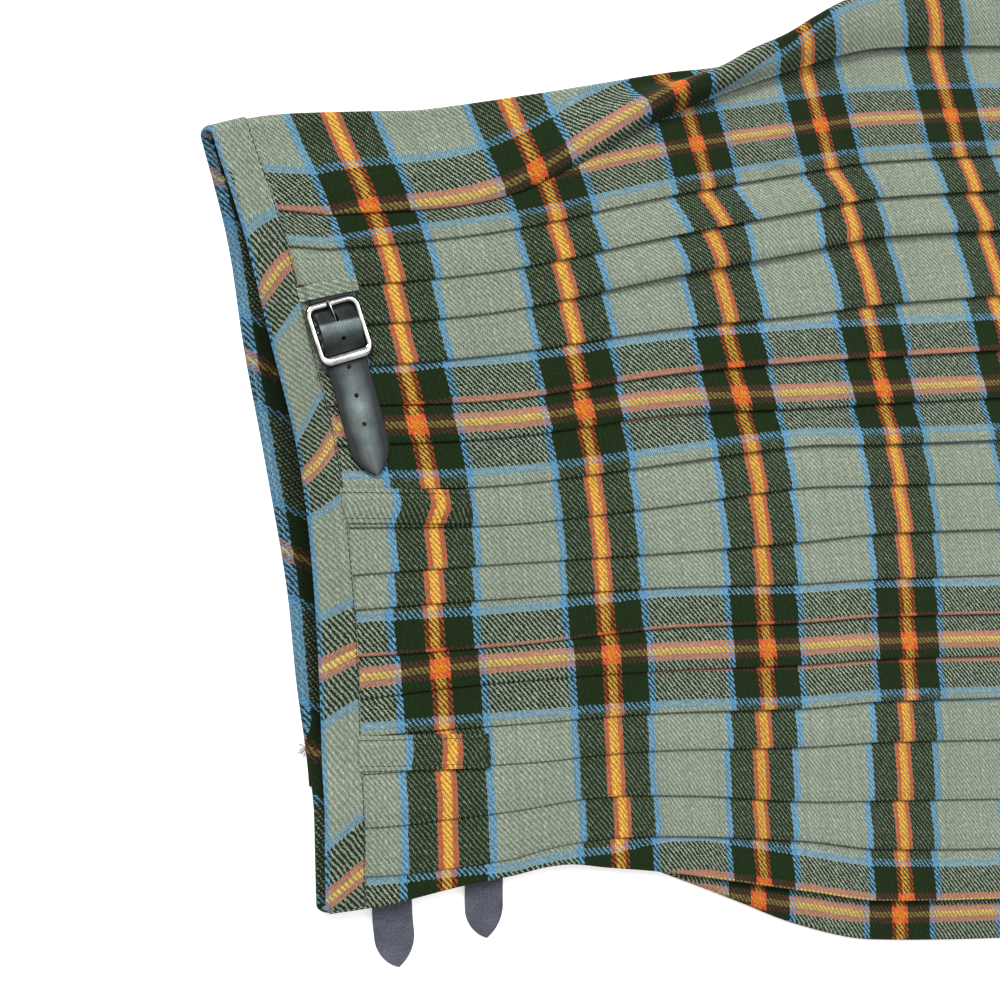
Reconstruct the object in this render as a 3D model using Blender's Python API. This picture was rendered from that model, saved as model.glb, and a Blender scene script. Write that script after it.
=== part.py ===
"""A fastened tartan kilt that lies flat on its aprons, with the pleated back uppermost.

Lengths are millimetres until a mesh is made. X runs from the waist to the hem, Y runs across the
kilt from the last pleat to the hip with the buckle, and Z is up from the surface that it lies on.
The cloth is one wall that goes round the kilt as a flat tube: the over apron on the surface, up
round the +Y side, through the knife pleats of the back, and round the -Y side into the under apron.
"""

import math

import bmesh
import bpy
from mathutils import Vector

MM = 0.001

# ---------------------------------------------------------------- driving dimensions, mm
CLOTH = 1.0  # thickness of the kilt cloth
GAP = 0.3  # between layers, and at seams
LAYER = CLOTH + GAP  # from one layer's middle to the next one's
DROP = 587.0  # waistband seam to hem
BAND = 20.0  # depth of the waistband
PLEAT_SHARE = 0.85  # hidden depth of a pleat, as a share of the width that shows
PLEAT_RISE = 2 * LAYER  # a fold edge stands this far above the panel that it covers
PLEAT_ROOT = PLEAT_RISE * PLEAT_SHARE  # height of a panel where it comes out from under a fold
CENTRE = (157.2, 22.4)  # middle of the kilt's box in the plan's own X and Y

# Stations along the kilt, from the waistband seam.
STATIONS = (-18, 3, 20, 45, 90, 145, 200, 260, 320, 400, 490, DROP)

# The seam between waistband and cloth, seen from above: its X at each Y.
SEAM = ((-345, -90), (-218, -93), (-133, -94), (-41, -99), (29, -108), (98, -125), (147, -137), (211, -157), (385, -207))

# The two side folds of the tube, as Y at each X.
PLUS_SIDE = (
    (-185, 212), (-113, 222), (-52, 230), (25, 252), (108, 275), (169, 291), (213, 318), (255, 341), (390, 372),
)
MINUS_SIDE = (
    (-118, -240), (-74, -242), (-11, -234), (34, -226), (69, -231), (111, -242), (164, -263), (215, -286),
    (273, -303), (495, -326),
)

# Each row is a pleat's fold edge, with its Y at each of these X, from the waist to the hem,
# and how far it has lifted off the pleat below from the hip down.
FOLD_X = (-110, 0, 110, 210, 275, 490)
FOLDS = (
    # waist, hip, ..., hem, lift
    (165, 186, 246, 289, 310, 338, 13.0),
    (145, 165, 195, 219, 233, 262, 1.0),
    (123, 141, 169, 193, 208, 236, 2.0),
    (100, 116, 143, 166, 181, 205, 5.0),
    (76, 90, 110, 124, 135, 160, 1.5),
    (55, 62, 81, 93, 99, 118, 1.5),
    (32, 39, 55, 62, 67, 82, 1.0),
    (6, 10, 24, 37, 39, 50, 2.0),
    (-15, -14, -3, 9, 11, 16, 1.0),
    (-43, -38, -33, -27, -22, -18, 1.5),
    (-63, -59, -55, -55, -53, -52, 0.8),
    (-90, -88, -81, -81, -79, -82, 1.0),
    (-115, -110, -108, -109, -108, -113, 0.8),
    (-136, -136, -135, -138, -137, -144, 1.5),
    (-157, -159, -159, -164, -165, -176, 1.0),
    (-188, -190, -188, -200, -205, -220, 1.2),
    (-216, -219, -215, -226, -238, -256, 2.0),
    (-237, -231, -238, -259, -273, -292, 3.0),
)
LIFT_FROM, LIFT_FULL = 30.0, 150.0  # X where the folds start to lift, and where they have

# Heights of the layers' middles, above the surface: away from the waistband, and inside it.
OVER_Z = (0.5, 1.8)
UNDER_Z = (2.6, 5.7)
BACK_Z = (5.0, 10.8)
ZONE_END = 70.0  # the waistband's extra thickness has died away this far from its seam

UNDER_REACH = 28.0  # the under apron's free edge stops this far inside the +Y side
OVER_REACH = 64.0  # the over apron's free edge stops this far inside the -Y side
BULGE = 7.0  # the hip buckles under the -Y side hold the layers above them up by this much
COVER = 6.2  # height of what lies on the pleats, above the layers' base

STRAP_WIDTH = 23.0
STRAP_THICK = 2.0
STRAP_POINT = 20.0  # length of the strap's pointed end
HOLE = 3.0
FRAME_WIDTH = 30.0
FRAME_LENGTH = 34.0
FRAME_RISE = 4.4  # the frame's middle, above what it lies on
FRAME_HALF_HEIGHT = 1.5
SIDE_BAR, TOP_BAR, END_BAR = 1.25, 1.5, 2.6  # half widths of the frame's bars
PIN = (-2.0, 3.6)  # the centre bar, along the strap and above the cloth
PIN_RADIUS = 1.1
TONGUE_RADIUS = 0.9

# Each row is a place along a strap and the height of its middle there, measured from the buckle's
# centre bar side: under the top bar, over the centre bar and under the end bar.
THROUGH_BUCKLE = (
    (-19, 1.6), (-14, 1.75), (-10.5, 3.0), (-6, 5.5), (-2, 7.3), (1.5, 7.1), (5, 5.2), (8.5, 2.8), (11, 1.7),
    (14.2, 1.5), (20, 1.5),
)
TONGUE_PATH = ((-4.6, 4.0), (-6.4, 4.3), (-8.0, 4.9), (-11.0, 6.3), (-15.4, 7.15), (-18.2, 7.2))

# Belt loops: Y of the middle at the seam, how far it drifts by the other end, and the length.
LOOPS = ((-3.0, -1.0, 80.0), (-146.0, -5.0, 82.0))
LOOP_WIDTH = 20.0

# Hip buckles: place on the plan, strap direction from +X, and where the strap's point ends.
TOP_BUCKLE = (-104.0, 96.5, -74.5, 85.0)
LOW_BUCKLES = ((-74.0, -213.0, -82.0, 66.0), (-16.0, -208.0, -86.0, 60.0))

WOOL_GREY = (0.30, 0.34, 0.30, 1.0)
WOOL_GREEN = (0.03, 0.07, 0.03, 1.0)
CHROME = (0.75, 0.75, 0.76, 1.0)
BLACK_LEATHER = (0.01, 0.012, 0.016, 1.0)


# ---------------------------------------------------------------- small helpers
def along(rows, at, column=1):
    """The value of a column at a place between two rows, on a smooth curve through them."""
    if at <= rows[0][0]:
        return rows[0][column]
    if at >= rows[-1][0]:
        return rows[-1][column]
    last = len(rows) - 1
    i = max(k for k in range(last) if rows[k][0] <= at)
    x0, x1 = rows[i][0], rows[i + 1][0]
    y0, y1 = rows[i][column], rows[i + 1][column]
    before = rows[max(i - 1, 0)]
    after = rows[min(i + 2, last)]
    slope0 = (y1 - before[column]) / (x1 - before[0])
    slope1 = (after[column] - y0) / (after[0] - x0)
    t = (at - x0) / (x1 - x0)
    run = x1 - x0
    return (
        (2 * t**3 - 3 * t**2 + 1) * y0
        + (t**3 - 2 * t**2 + t) * run * slope0
        + (3 * t**2 - 2 * t**3) * y1
        + (t**3 - t**2) * run * slope1
    )


def smooth(low, high, at):
    t = min(max((at - low) / (high - low), 0.0), 1.0)
    return t * t * (3 - 2 * t)


def seam_x(y):
    return along(SEAM, y)


def lower_shift(y):
    """The aprons' waist edge shows this far beyond the back's, most of all at the middle."""
    return 4.0 + 13.5 * math.exp(-(((y - 25.0) / 115.0) ** 2))


def plan_x(station, y, lower=0.0):
    return seam_x(y) + station - lower * lower_shift(y)


def on_curve(rule, station):
    """The Y where a curve given as Y over X crosses a station's line."""
    y = 0.0
    for _ in range(8):
        y = rule(plan_x(station, y))
    return y


def fold_y(row, x):
    return along([(at, FOLDS[row][i]) for i, at in enumerate(FOLD_X)], x)


def fold_lift(row, station):
    return FOLDS[row][-1] * smooth(LIFT_FROM + 110, LIFT_FULL + 110, station)


def zone(station):
    """1 inside the waistband, 0 on the open cloth."""
    return 1.0 - smooth(4.0, ZONE_END, station)


def height(pair, station):
    return pair[0] + (pair[1] - pair[0]) * zone(station)


def chord(rule, station):
    """A height between two stations, on the straight line that the walls take there."""
    after = min(max(sum(at < station for at in STATIONS), 1), len(STATIONS) - 1)
    s0, s1 = STATIONS[after - 1], STATIONS[after]
    share = (station - s0) / (s1 - s0)
    return rule(s0) * (1 - share) + rule(s1) * share


def bulge(station, y):
    """How far the layers over the two hip buckles are held up."""
    edge = on_curve(lambda x: along(MINUS_SIDE, x), station)
    return BULGE * (1 - smooth(50.0, 84.0, y - edge)) * (1 - smooth(105.0, 165.0, station))


def new_object(name, mesh, colour, roughness, metallic=0.0):
    material = bpy.data.materials.new(name + "_finish")
    material.use_nodes = True
    shader = material.node_tree.nodes["Principled BSDF"]
    shader.inputs["Base Color"].default_value = colour
    shader.inputs["Roughness"].default_value = roughness
    shader.inputs["Metallic"].default_value = metallic
    mesh.materials.append(material)
    obj = bpy.data.objects.new(name, mesh)
    PARTS.objects.link(obj)
    return obj


def mesh_of(name, rings, closed_rings, closed_loft=False):
    """A mesh lofted through rings of equal length, in millimetres, capped where it is open."""
    work = bmesh.new()
    rows = [[work.verts.new(Vector(point) * MM) for point in ring] for ring in rings]
    count = len(rings[0])
    steps = len(rows) if closed_loft else len(rows) - 1
    sides = count if closed_rings else count - 1
    for i in range(steps):
        row, after = rows[i], rows[(i + 1) % len(rows)]
        for j in range(sides):
            k = (j + 1) % count
            work.faces.new((row[j], row[k], after[k], after[j]))
    if not closed_loft:
        work.faces.new(rows[0][::-1])
        work.faces.new(rows[-1])
    bmesh.ops.recalc_face_normals(work, faces=work.faces)
    mesh = bpy.data.meshes.new(name)
    work.to_mesh(mesh)
    work.free()
    return mesh


# ---------------------------------------------------------------- cloth walls
def offset_path(path, half):
    """The two faces of a wall whose middle line is path, a list of (y, z)."""
    faces = ([], [])
    for i, (y, z) in enumerate(path):
        before = path[max(i - 1, 0)]
        after = path[min(i + 1, len(path) - 1)]
        into = Vector((y - before[0], z - before[1]))
        out = Vector((after[0] - y, after[1] - z))
        into = into.normalized() if into.length else out.normalized()
        out = out.normalized() if out.length else into
        turn = (into + out).normalized()
        normal = Vector((-turn.y, turn.x))
        stretch = half / max(normal.dot(Vector((-into.y, into.x))), 0.5)
        for face, sign in zip(faces, (1, -1)):
            face.append((y + sign * stretch * normal.x, z + sign * stretch * normal.y))
    return faces


def wall(name, path_at, colour, roughness=0.9):
    """A cloth wall through the middle lines that path_at gives at each station.

    Each strip between two neighbouring points is its own quad on both faces, so the end caps are
    laid as a row of quads and never as one folded polygon.
    """
    work = bmesh.new()
    sections = []
    for station in STATIONS:
        path, lower = path_at(station)
        upper_face, under_face = offset_path(path, CLOTH / 2)
        corners = []
        for face in (upper_face, under_face):
            corners.append(
                [
                    work.verts.new(Vector((plan_x(station, y, share) - CENTRE[0], y - CENTRE[1], z)) * MM)
                    for (y, z), share in zip(face, lower)
                ]
            )
        sections.append(corners)
    for (up0, down0), (up1, down1) in zip(sections, sections[1:]):
        for j in range(len(up0) - 1):
            work.faces.new((up0[j], up0[j + 1], up1[j + 1], up1[j]))
            work.faces.new((down0[j], down1[j], down1[j + 1], down0[j + 1]))
        for j, k in ((0, 0), (-1, -1)):
            work.faces.new((up0[j], up1[j], down1[k], down0[k]))
    for up, down in (sections[0], sections[-1]):
        for j in range(len(up) - 1):
            work.faces.new((up[j], down[j], down[j + 1], up[j + 1]))
    bmesh.ops.recalc_face_normals(work, faces=work.faces)
    mesh = bpy.data.meshes.new(name)
    work.to_mesh(mesh)
    work.free()
    return new_object(name, mesh, colour, roughness)


def side_y(station, plus):
    rows = PLUS_SIDE if plus else MINUS_SIDE
    return on_curve(lambda x: along(rows, x), station)


def pleat_edges(station):
    """Y of each fold edge, and of the hidden fold behind it, at a station."""
    edges = [on_curve(lambda x, row=row: fold_y(row, x), station) for row in range(len(FOLDS))]
    widths = [a - b for a, b in zip(edges, edges[1:])]
    widths.append(widths[-1])
    depths = []
    for row in range(len(FOLDS)):
        before = widths[row - 1] if row else (side_y(station, True) - edges[0]) * 0.7
        depths.append(PLEAT_SHARE * min(before, widths[row]))
    hidden = [edge + depth for edge, depth in zip(edges, depths)]
    return edges, hidden


def fold_bend(edge, hidden, base, lift):
    """The fold edge, the return under it and the hidden fold, down to the next panel's start."""
    top = base + PLEAT_ROOT + PLEAT_RISE + lift
    return [
        (edge, top),
        (edge - LAYER / 2, top - LAYER / 2),
        (edge, top - LAYER),
        (hidden, base + LAYER),
        (hidden + LAYER / 2, base + LAYER / 2),
        (hidden, base),
    ]


def over_apron_path(station):
    """From the free edge along the surface, round the +Y side and over the top to the first pleat."""
    floor = height(OVER_Z, station)
    base = height(BACK_Z, station)
    edges, hidden = pleat_edges(station)
    side = side_y(station, True)
    start = side_y(station, False) + OVER_REACH
    radius = (base - floor) / 2
    turn = side - radius - CLOTH / 2
    path = [(start + (turn - start) * i / 9, floor) for i in range(10)]
    middle = floor + radius
    for i in range(1, 6):
        angle = -math.pi / 2 + math.pi * i / 6
        path.append((turn + radius * math.cos(angle), middle + radius * math.sin(angle)))
    path.append((turn, base))
    lift = fold_lift(0, station)
    edge, back = edges[0], hidden[0]
    rise = PLEAT_RISE + lift * 1.15
    for share in (0.25, 0.5, 0.75):
        y = turn + (back - turn) * share
        path.append((y, base + PLEAT_RISE * share + (rise - PLEAT_RISE) * math.sin(share * math.pi / 2)))
    path.append((back, base + rise))
    half = (back + edge) / 2
    path.append((half, base + PLEAT_RISE + PLEAT_ROOT / 2 + lift * 1.2))
    path += fold_bend(edge, back, base, lift)[:4]
    under = [1.0 - smooth(0.0, 1.0, (z - floor) / (base - floor)) for _, z in path]
    return path, under


def back_path(station):
    """The back's panels, each from its hidden fold to the fold edge over the next one."""
    base = height(BACK_Z, station)
    edges, hidden = pleat_edges(station)
    path = []
    for row in range(len(FOLDS) - 1):
        path.append((hidden[row], base))
        path.append((edges[row], base + PLEAT_ROOT))
        path.append((hidden[row + 1], base + PLEAT_RISE))
        path += fold_bend(edges[row + 1], hidden[row + 1], base, fold_lift(row + 1, station))[:-1]
    path = path[:-1]
    path = [(y, z + bulge(station, y)) for y, z in path]
    return path, [0.0] * len(path)


def under_places(turn, finish):
    """Places across the under apron: close over the hip buckles, wide apart beyond them."""
    close = 104.0
    places = [turn + close * i / 13 for i in range(14)]
    return places + [turn + close + (finish - turn - close) * i / 5 for i in range(1, 6)]


def under_apron_path(station):
    """From the last hidden fold, round the -Y side and back inside the tube to its free edge."""
    base = height(BACK_Z, station)
    floor = height(UNDER_Z, station)
    edges, hidden = pleat_edges(station)
    side = side_y(station, False)
    lap = 0.6
    radius = (base + lap - floor) / 2
    turn = min(side + radius + CLOTH / 2, edges[-1] + 3.0)
    path = [(hidden[-1], base), ((hidden[-1] + turn) / 2, base + lap / 2), (turn, base + lap)]
    middle = floor + radius
    for i in range(1, 6):
        angle = math.pi / 2 + math.pi * i / 6
        path.append((turn + radius * math.cos(angle), middle + radius * math.sin(angle)))
    path += [(y, floor) for y in under_places(turn, side_y(station, True) - UNDER_REACH)]
    path = [(y, z + bulge(station, y)) for y, z in path]
    under = [1.0 - smooth(0.0, 1.0, (z - bulge(station, y) - floor) / (base - floor)) for y, z in path]
    return path, under


# ---------------------------------------------------------------- waistband and belt loops
def band_points(station):
    """The tube at the waist as rows of: Y, Z, outward direction, outer leaf, inner leaf, lower share."""
    floor, under, base = OVER_Z[1], UNDER_Z[1], BACK_Z[1]
    edges, hidden = pleat_edges(station)
    rows = []
    down, up = (0.0, -1.0), (0.0, 1.0)
    start = side_y(station, False) + OVER_REACH
    radius = (base - floor) / 2
    turn = side_y(station, True) - radius - CLOTH / 2
    for i in range(12):
        rows.append((start + (turn - start) * i / 12, floor, down, LAYER, LAYER, 1.0))
    for i in range(9):
        angle = -math.pi / 2 + math.pi * i / 8
        out = (math.cos(angle), math.sin(angle))
        share = 1.0 - smooth(0.0, 1.0, (1 + out[1]) / 2)
        z = floor + radius + radius * out[1]
        rows.append((turn + radius * out[0], z, out, LAYER, LAYER, share))
    rows.append((hidden[0], base, up, PLEAT_RISE + LAYER + 0.1, LAYER, 0.0))
    rows.append(((hidden[0] + edges[0]) / 2, base, up, COVER, LAYER, 0.0))
    for edge, after in zip(edges, edges[1:]):
        for share in (0.0, 0.5):
            rows.append((edge + (after - edge) * share, base, up, COVER, LAYER + 0.7, 0.0))
    lap = 0.6
    radius = (base + lap - under) / 2
    turn = min(side_y(station, False) + radius + CLOTH / 2, edges[-1] + 3.0)
    # Round the -Y side the outer leaf comes down from the pleats to lie on the apron.
    for angle, outer, inner in ((90, 5.6, 1.9), (115, 4.7, 1.6), (140, 2.9, 1.3), (165, 1.8, 1.3), (190, 1.35, 1.3)):
        out = (math.cos(math.radians(angle)), math.sin(math.radians(angle)))
        share = 1.0 - smooth(0.0, 1.0, (1 + out[1]) / 2)
        rows.append((turn + radius * out[0], under + radius + radius * out[1], out, outer, inner, share))
    for angle in (215, 240, 270):
        out = (math.cos(math.radians(angle)), math.sin(math.radians(angle)))
        share = 1.0 - smooth(0.0, 1.0, (1 + out[1]) / 2)
        rows.append((turn + radius * out[0], under + radius + radius * out[1], out, LAYER, LAYER, share))
    for y in under_places(turn, side_y(station, True) - UNDER_REACH)[1:]:
        rows.append((y, under, down, LAYER, LAYER, 1.0))
    return rows


def waistband():
    """One strip folded over the waist edge: an outer leaf, the fold and an inner leaf."""
    half = CLOTH / 2
    rings = []
    middle = (OVER_Z[1] + UNDER_Z[1]) / 2
    for row, row_after in zip(band_points(STATIONS[0]), band_points(STATIONS[1])):
        (out_y, out_z), outer, inner, share = row[2:]
        raised = [z + (bulge(at, y) if z > middle else 0.0) for at, (y, z) in zip(STATIONS, (row[:2], row_after[:2]))]
        fold = -BAND
        section = (
            (0.0, outer + half), (fold + 0.9, outer + half), (fold, outer - 0.4), (fold, -inner + 0.4),
            (fold + 0.9, -inner - half), (0.0, -inner - half), (0.0, -inner + half), (fold + 1.4, -inner + half),
            (fold + 1.0, -inner + 0.9), (fold + 1.0, outer - 0.9), (fold + 1.4, outer - half), (0.0, outer - half),
        )
        ring = []
        for station, away in section:
            part = (station - STATIONS[0]) / (STATIONS[1] - STATIONS[0])
            y = row[0] + (row_after[0] - row[0]) * part + out_y * away
            z = raised[0] + (raised[1] - raised[0]) * part + out_z * away
            ring.append((plan_x(station, y, share) - CENTRE[0], y - CENTRE[1], z))
        rings.append(ring)
    return new_object("waistband", mesh_of("waistband", rings, True), WOOL_GREY, 0.9)


def cover_z(station, y):
    """The middle of a layer of cloth that lies on the pleats' fold edges."""
    return chord(lambda at: height(BACK_Z, at) + bulge(at, y), station) + COVER


def belt_loop(name, middle, drift, length):
    """A strip sewn along both long edges, a little proud between them."""
    rings = []
    for i in range(9):
        share = i / 8
        station = GAP + length * share
        centre = middle + drift * share
        ring = []
        for side in (1, -1):
            for j in range(5):
                across = (j / 2 - 1) * side
                y = centre + across * LOOP_WIDTH / 2
                z = cover_z(station, y) + 0.3 + 0.8 * (1 - across**2) + side * CLOTH / 2
                ring.append((plan_x(station, y) - CENTRE[0], y - CENTRE[1], z))
        rings.append(ring)
    return new_object(name, mesh_of(name, rings, True), WOOL_GREY, 0.9)


# ---------------------------------------------------------------- straps and buckles
class Seat:
    """A buckle's own axes: u along the strap to its point, w across it, n away from the cloth."""

    def __init__(self, x, y, z, heading, slope=(0.0, 0.0), flipped=False):
        angle = math.radians(heading)
        self.origin = Vector((x - CENTRE[0], y - CENTRE[1], z))
        self.n = Vector((-slope[0], -slope[1], 1.0)).normalized() * (-1 if flipped else 1)
        along_strap = Vector((math.cos(angle), math.sin(angle), 0.0))
        self.u = (along_strap - self.n * along_strap.dot(self.n)).normalized()
        self.w = self.n.cross(self.u)

    def at(self, u, w, n):
        return tuple(self.origin + self.u * u + self.w * w + self.n * n)


def buckle_frame(name, seat):
    """A rounded frame with a thicker end bar, swept as an oval section, and its centre bar."""
    corner = 5.0
    half_w = FRAME_WIDTH / 2 - SIDE_BAR
    low, high = -FRAME_LENGTH / 2 + TOP_BAR, FRAME_LENGTH / 2 - END_BAR
    rings = []
    for quarter, (cu, cw) in enumerate(((1, 1), (-1, 1), (-1, -1), (1, -1))):
        middle_u = (high - corner) if cu > 0 else (low + corner)
        middle_w = cw * (half_w - corner)
        for i in range(5):
            angle = math.pi / 2 * (quarter + i / 4)
            du, dw = math.cos(angle), math.sin(angle)
            bar = SIDE_BAR * dw**2 + (END_BAR if du > 0 else TOP_BAR) * du**2
            ring = []
            for j in range(8):
                turn = 2 * math.pi * j / 8
                out = bar * math.cos(turn)
                ring.append(
                    seat.at(
                        middle_u + (corner + out) * du,
                        middle_w + (corner + out) * dw,
                        FRAME_RISE + FRAME_HALF_HEIGHT * math.sin(turn),
                    )
                )
            rings.append(ring)
    frame = new_object(name, mesh_of(name, rings, True, closed_loft=True), CHROME, 0.15, 1.0)
    pin_rings = []
    for w in (-half_w, half_w):
        pin_rings.append(
            [
                seat.at(
                    PIN[0] + PIN_RADIUS * math.cos(2 * math.pi * j / 8),
                    w,
                    PIN[1] + PIN_RADIUS * math.sin(2 * math.pi * j / 8),
                )
                for j in range(8)
            ]
        )
    boolean(frame, cutter(name + "_pin", pin_rings), "UNION")
    return frame


def cutter(name, rings):
    obj = bpy.data.objects.new(name, mesh_of(name, rings, True))
    obj.hide_render = True
    obj.display_type = "WIRE"
    CUTTERS.objects.link(obj)
    return obj


def boolean(target, other, operation):
    modifier = target.modifiers.new(other.name, "BOOLEAN")
    modifier.operation = operation
    modifier.object = other
    return modifier


def upright(name, seat, u, w, half_u, half_w, low, high, sides=10):
    """A rounded cutter that stands on the cloth."""
    rings = []
    for n in (low, high):
        rings.append(
            [
                seat.at(
                    u + half_u * math.cos(2 * math.pi * j / sides),
                    w + half_w * math.sin(2 * math.pi * j / sides),
                    n,
                )
                for j in range(sides)
            ]
        )
    return cutter(name, rings)


def tongue(name, seat):
    """A wire hooked round the centre bar, up through the strap's hole and over the top bar."""
    hook = PIN_RADIUS + GAP + TONGUE_RADIUS
    path = []
    for degrees in (25, -15, -55, -95, -135, -175):
        angle = math.radians(degrees)
        path.append((PIN[0] + hook * math.cos(angle), PIN[1] + hook * math.sin(angle)))
    path += TONGUE_PATH
    rings = []
    for i, (u, n) in enumerate(path):
        before, after = path[max(i - 1, 0)], path[min(i + 1, len(path) - 1)]
        along_wire = Vector((after[0] - before[0], after[1] - before[1])).normalized()
        radius = TONGUE_RADIUS * (0.7 if i == len(path) - 1 else 1.0)
        ring = []
        for j in range(8):
            angle = 2 * math.pi * j / 8
            out, w = radius * math.cos(angle), radius * math.sin(angle)
            ring.append(seat.at(u - along_wire.y * out, w, n + along_wire.x * out))
        rings.append(ring)
    return new_object(name, mesh_of(name, rings, True), CHROME, 0.15, 1.0)


def chape(name, seat):
    """A short cloth tab round the centre bar, slotted for the tongue, its two ends sewn down."""
    radius = PIN_RADIUS + GAP + CLOTH / 2
    path = [(5.5, 0.8), (1.0, 0.9)]
    for degrees in (-70, -110, -150, 180, 140, 100, 60):
        angle = math.radians(degrees)
        path.append((PIN[0] + radius * math.cos(angle), PIN[1] + radius * math.sin(angle)))
    path += [(1.0, 3.7), (2.5, 2.2), (5.5, 2.1)]
    upper, under = offset_path(path, CLOTH / 2)
    rings = [[seat.at(u, w, n) for u, n in upper + under[::-1]] for w in (-10.0, 10.0)]
    tab = new_object(name, mesh_of(name, rings, True), WOOL_GREY, 0.9)
    slot = [
        [seat.at(u, w, n) for u, n in ((-6.0, -1.0), (1.6, -1.0), (1.6, 9.0), (-6.0, 9.0))] for w in (-2.2, 2.2)
    ]
    boolean(tab, cutter(name + "_slot", slot), "DIFFERENCE")
    return tab


def strap(name, seat, path, holes):
    """A leather strap along path, with a pointed end and a row of holes."""
    half, thick = STRAP_WIDTH / 2, STRAP_THICK / 2
    tip = path[-1][0]
    rings = []
    for i, (u, n) in enumerate(path):
        before, after = path[max(i - 1, 0)], path[min(i + 1, len(path) - 1)]
        run = Vector((after[0] - before[0], after[1] - before[1])).normalized()
        share = min(max((u - (tip - STRAP_POINT)) / STRAP_POINT, 0.0), 1.0)
        width = max(half * (1 - share**2.2), 0.9)
        ring = []
        for w, out in ((1, 0.5), (0.96, 1), (-0.96, 1), (-1, 0.5), (-1, -0.5), (-0.96, -1), (0.96, -1), (1, -0.5)):
            ring.append(seat.at(u - run.y * out * thick, w * width, n + run.x * out * thick))
        rings.append(ring)
    made = new_object(name, mesh_of(name, rings, True), BLACK_LEATHER, 0.4)
    for number, (u, half_u) in enumerate(holes):
        boolean(made, upright(f"{name}_hole_{number}", seat, u, 0.0, half_u, HOLE / 2, -12, 14), "DIFFERENCE")
    return made


def pointed_end(start, tip, rises):
    """Places along the strap's free end, close together at its point, with the height from rises."""
    places = [start + (tip - STRAP_POINT - start) * share for share in (0.25, 0.5, 0.75)]
    places += [tip - STRAP_POINT * share for share in (1.0, 0.75, 0.55, 0.38, 0.24, 0.13, 0.05, 0.0)]
    return [(u, along(rises, u)) for u in places]


def slit_tab(name, seat):
    """The turned edge of the slit that the strap comes out of, over the strap's root."""
    path = [(-17.0, 0.8), (-13.6, 0.8), (-12.6, 3.4), (0.0, 3.6), (12.6, 3.4), (13.6, 0.8), (17.0, 0.8)]
    upper, under = offset_path(path, CLOTH / 2)
    rings = [[seat.at(u, w, n) for w, n in upper + under[::-1]] for u in (-29.0, -21.0)]
    return new_object(name, mesh_of(name, rings, True), WOOL_GREY, 0.9)


def hip_buckle():
    """The buckle on the +Y hip: the under apron's strap comes out of a slit and through it."""
    x, y, heading, tip = TOP_BUCKLE

    def cloth(x, y):
        return cover_z(x - seam_x(y), y)

    slope = (
        (cloth(x + FRAME_WIDTH / 2, y) - cloth(x - FRAME_WIDTH / 2, y)) / FRAME_WIDTH,
        (cloth(x, y + FRAME_LENGTH / 2) - cloth(x, y - FRAME_LENGTH / 2)) / FRAME_LENGTH,
    )
    seat = Seat(x, y, cloth(x, y) - CLOTH / 2 - GAP, heading, slope)
    buckle_frame("hip_buckle_frame", seat)
    tongue("hip_buckle_tongue", seat)
    chape("hip_buckle_chape", seat)
    slit_tab("strap_slit_edge", seat)
    rises = ((20.0, 1.5), (40.0, 1.5), (tip, 1.5))
    path = [(-27.0, 1.6)] + list(THROUGH_BUCKLE) + pointed_end(20.0, tip, rises)
    strap("hip_strap", seat, path, ((-7.6, 3.4), (4.2, 1.5), (20.4, 1.5), (37.6, 1.5), (54.8, 1.5)))


def low_buckle(number, x, y, heading, tip):
    """A buckle under the -Y hip, face down, with the over apron's strap through it."""
    station = x - seam_x(y)
    far = station + FRAME_WIDTH / 2
    face = chord(lambda at: height(UNDER_Z, at) + bulge(at, y), far) - CLOTH / 2 - GAP
    seat = Seat(x, y, face, heading, flipped=True)
    buckle_frame(f"low_buckle_{number}_frame", seat)
    tongue(f"low_buckle_{number}_tongue", seat)
    chape(f"low_buckle_{number}_chape", seat)
    near = station - FRAME_WIDTH / 2
    root = face - (chord(lambda at: height(OVER_Z, at), near) + CLOTH / 2 + GAP + STRAP_THICK / 2)
    resting = face - STRAP_THICK / 2 - 0.3
    rises = ((20.0, 1.5), (34.0, resting * 0.75), (44.0, resting), (tip, resting))
    path = [(-46.0, root), (-34.0, root), (-27.0, root * 0.7)] + list(THROUGH_BUCKLE)
    path += pointed_end(20.0, tip, rises)
    strap(f"low_strap_{number}", seat, path, ((-7.6, 3.4), (4.2, 1.5), (20.4, 1.5), (37.6, 1.5)))


# ---------------------------------------------------------------- scene
for old in list(bpy.data.objects):
    bpy.data.objects.remove(old, do_unlink=True)
PARTS = bpy.data.collections.new("scottish_kilt")
CUTTERS = bpy.data.collections.new("cutters")
bpy.context.scene.collection.children.link(PARTS)
bpy.context.scene.collection.children.link(CUTTERS)

wall("over_apron", over_apron_path, WOOL_GREEN)
wall("pleated_back", back_path, WOOL_GREY)
wall("under_apron", under_apron_path, WOOL_GREEN)
waistband()
for number, loop in enumerate(LOOPS, 1):
    belt_loop(f"belt_loop_{number}", *loop)
hip_buckle()
for number, place in enumerate(LOW_BUCKLES, 1):
    low_buckle(number, *place)
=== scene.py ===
"""The looks of a fastened tartan kilt that lies flat on its aprons, pleated back uppermost.

Lengths are millimetres on the plan until a mesh is made. X runs from the waist to the hem, Y across
the kilt and Z up. A station is a distance from the waistband's seam towards the hem. Every point of
the cloth also has its place on the cloth: the station, and how far it lies across the tartan's rows.
"""

import functools
import math
import random

import bpy
import numpy as np
from mathutils import Matrix, Vector


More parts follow.
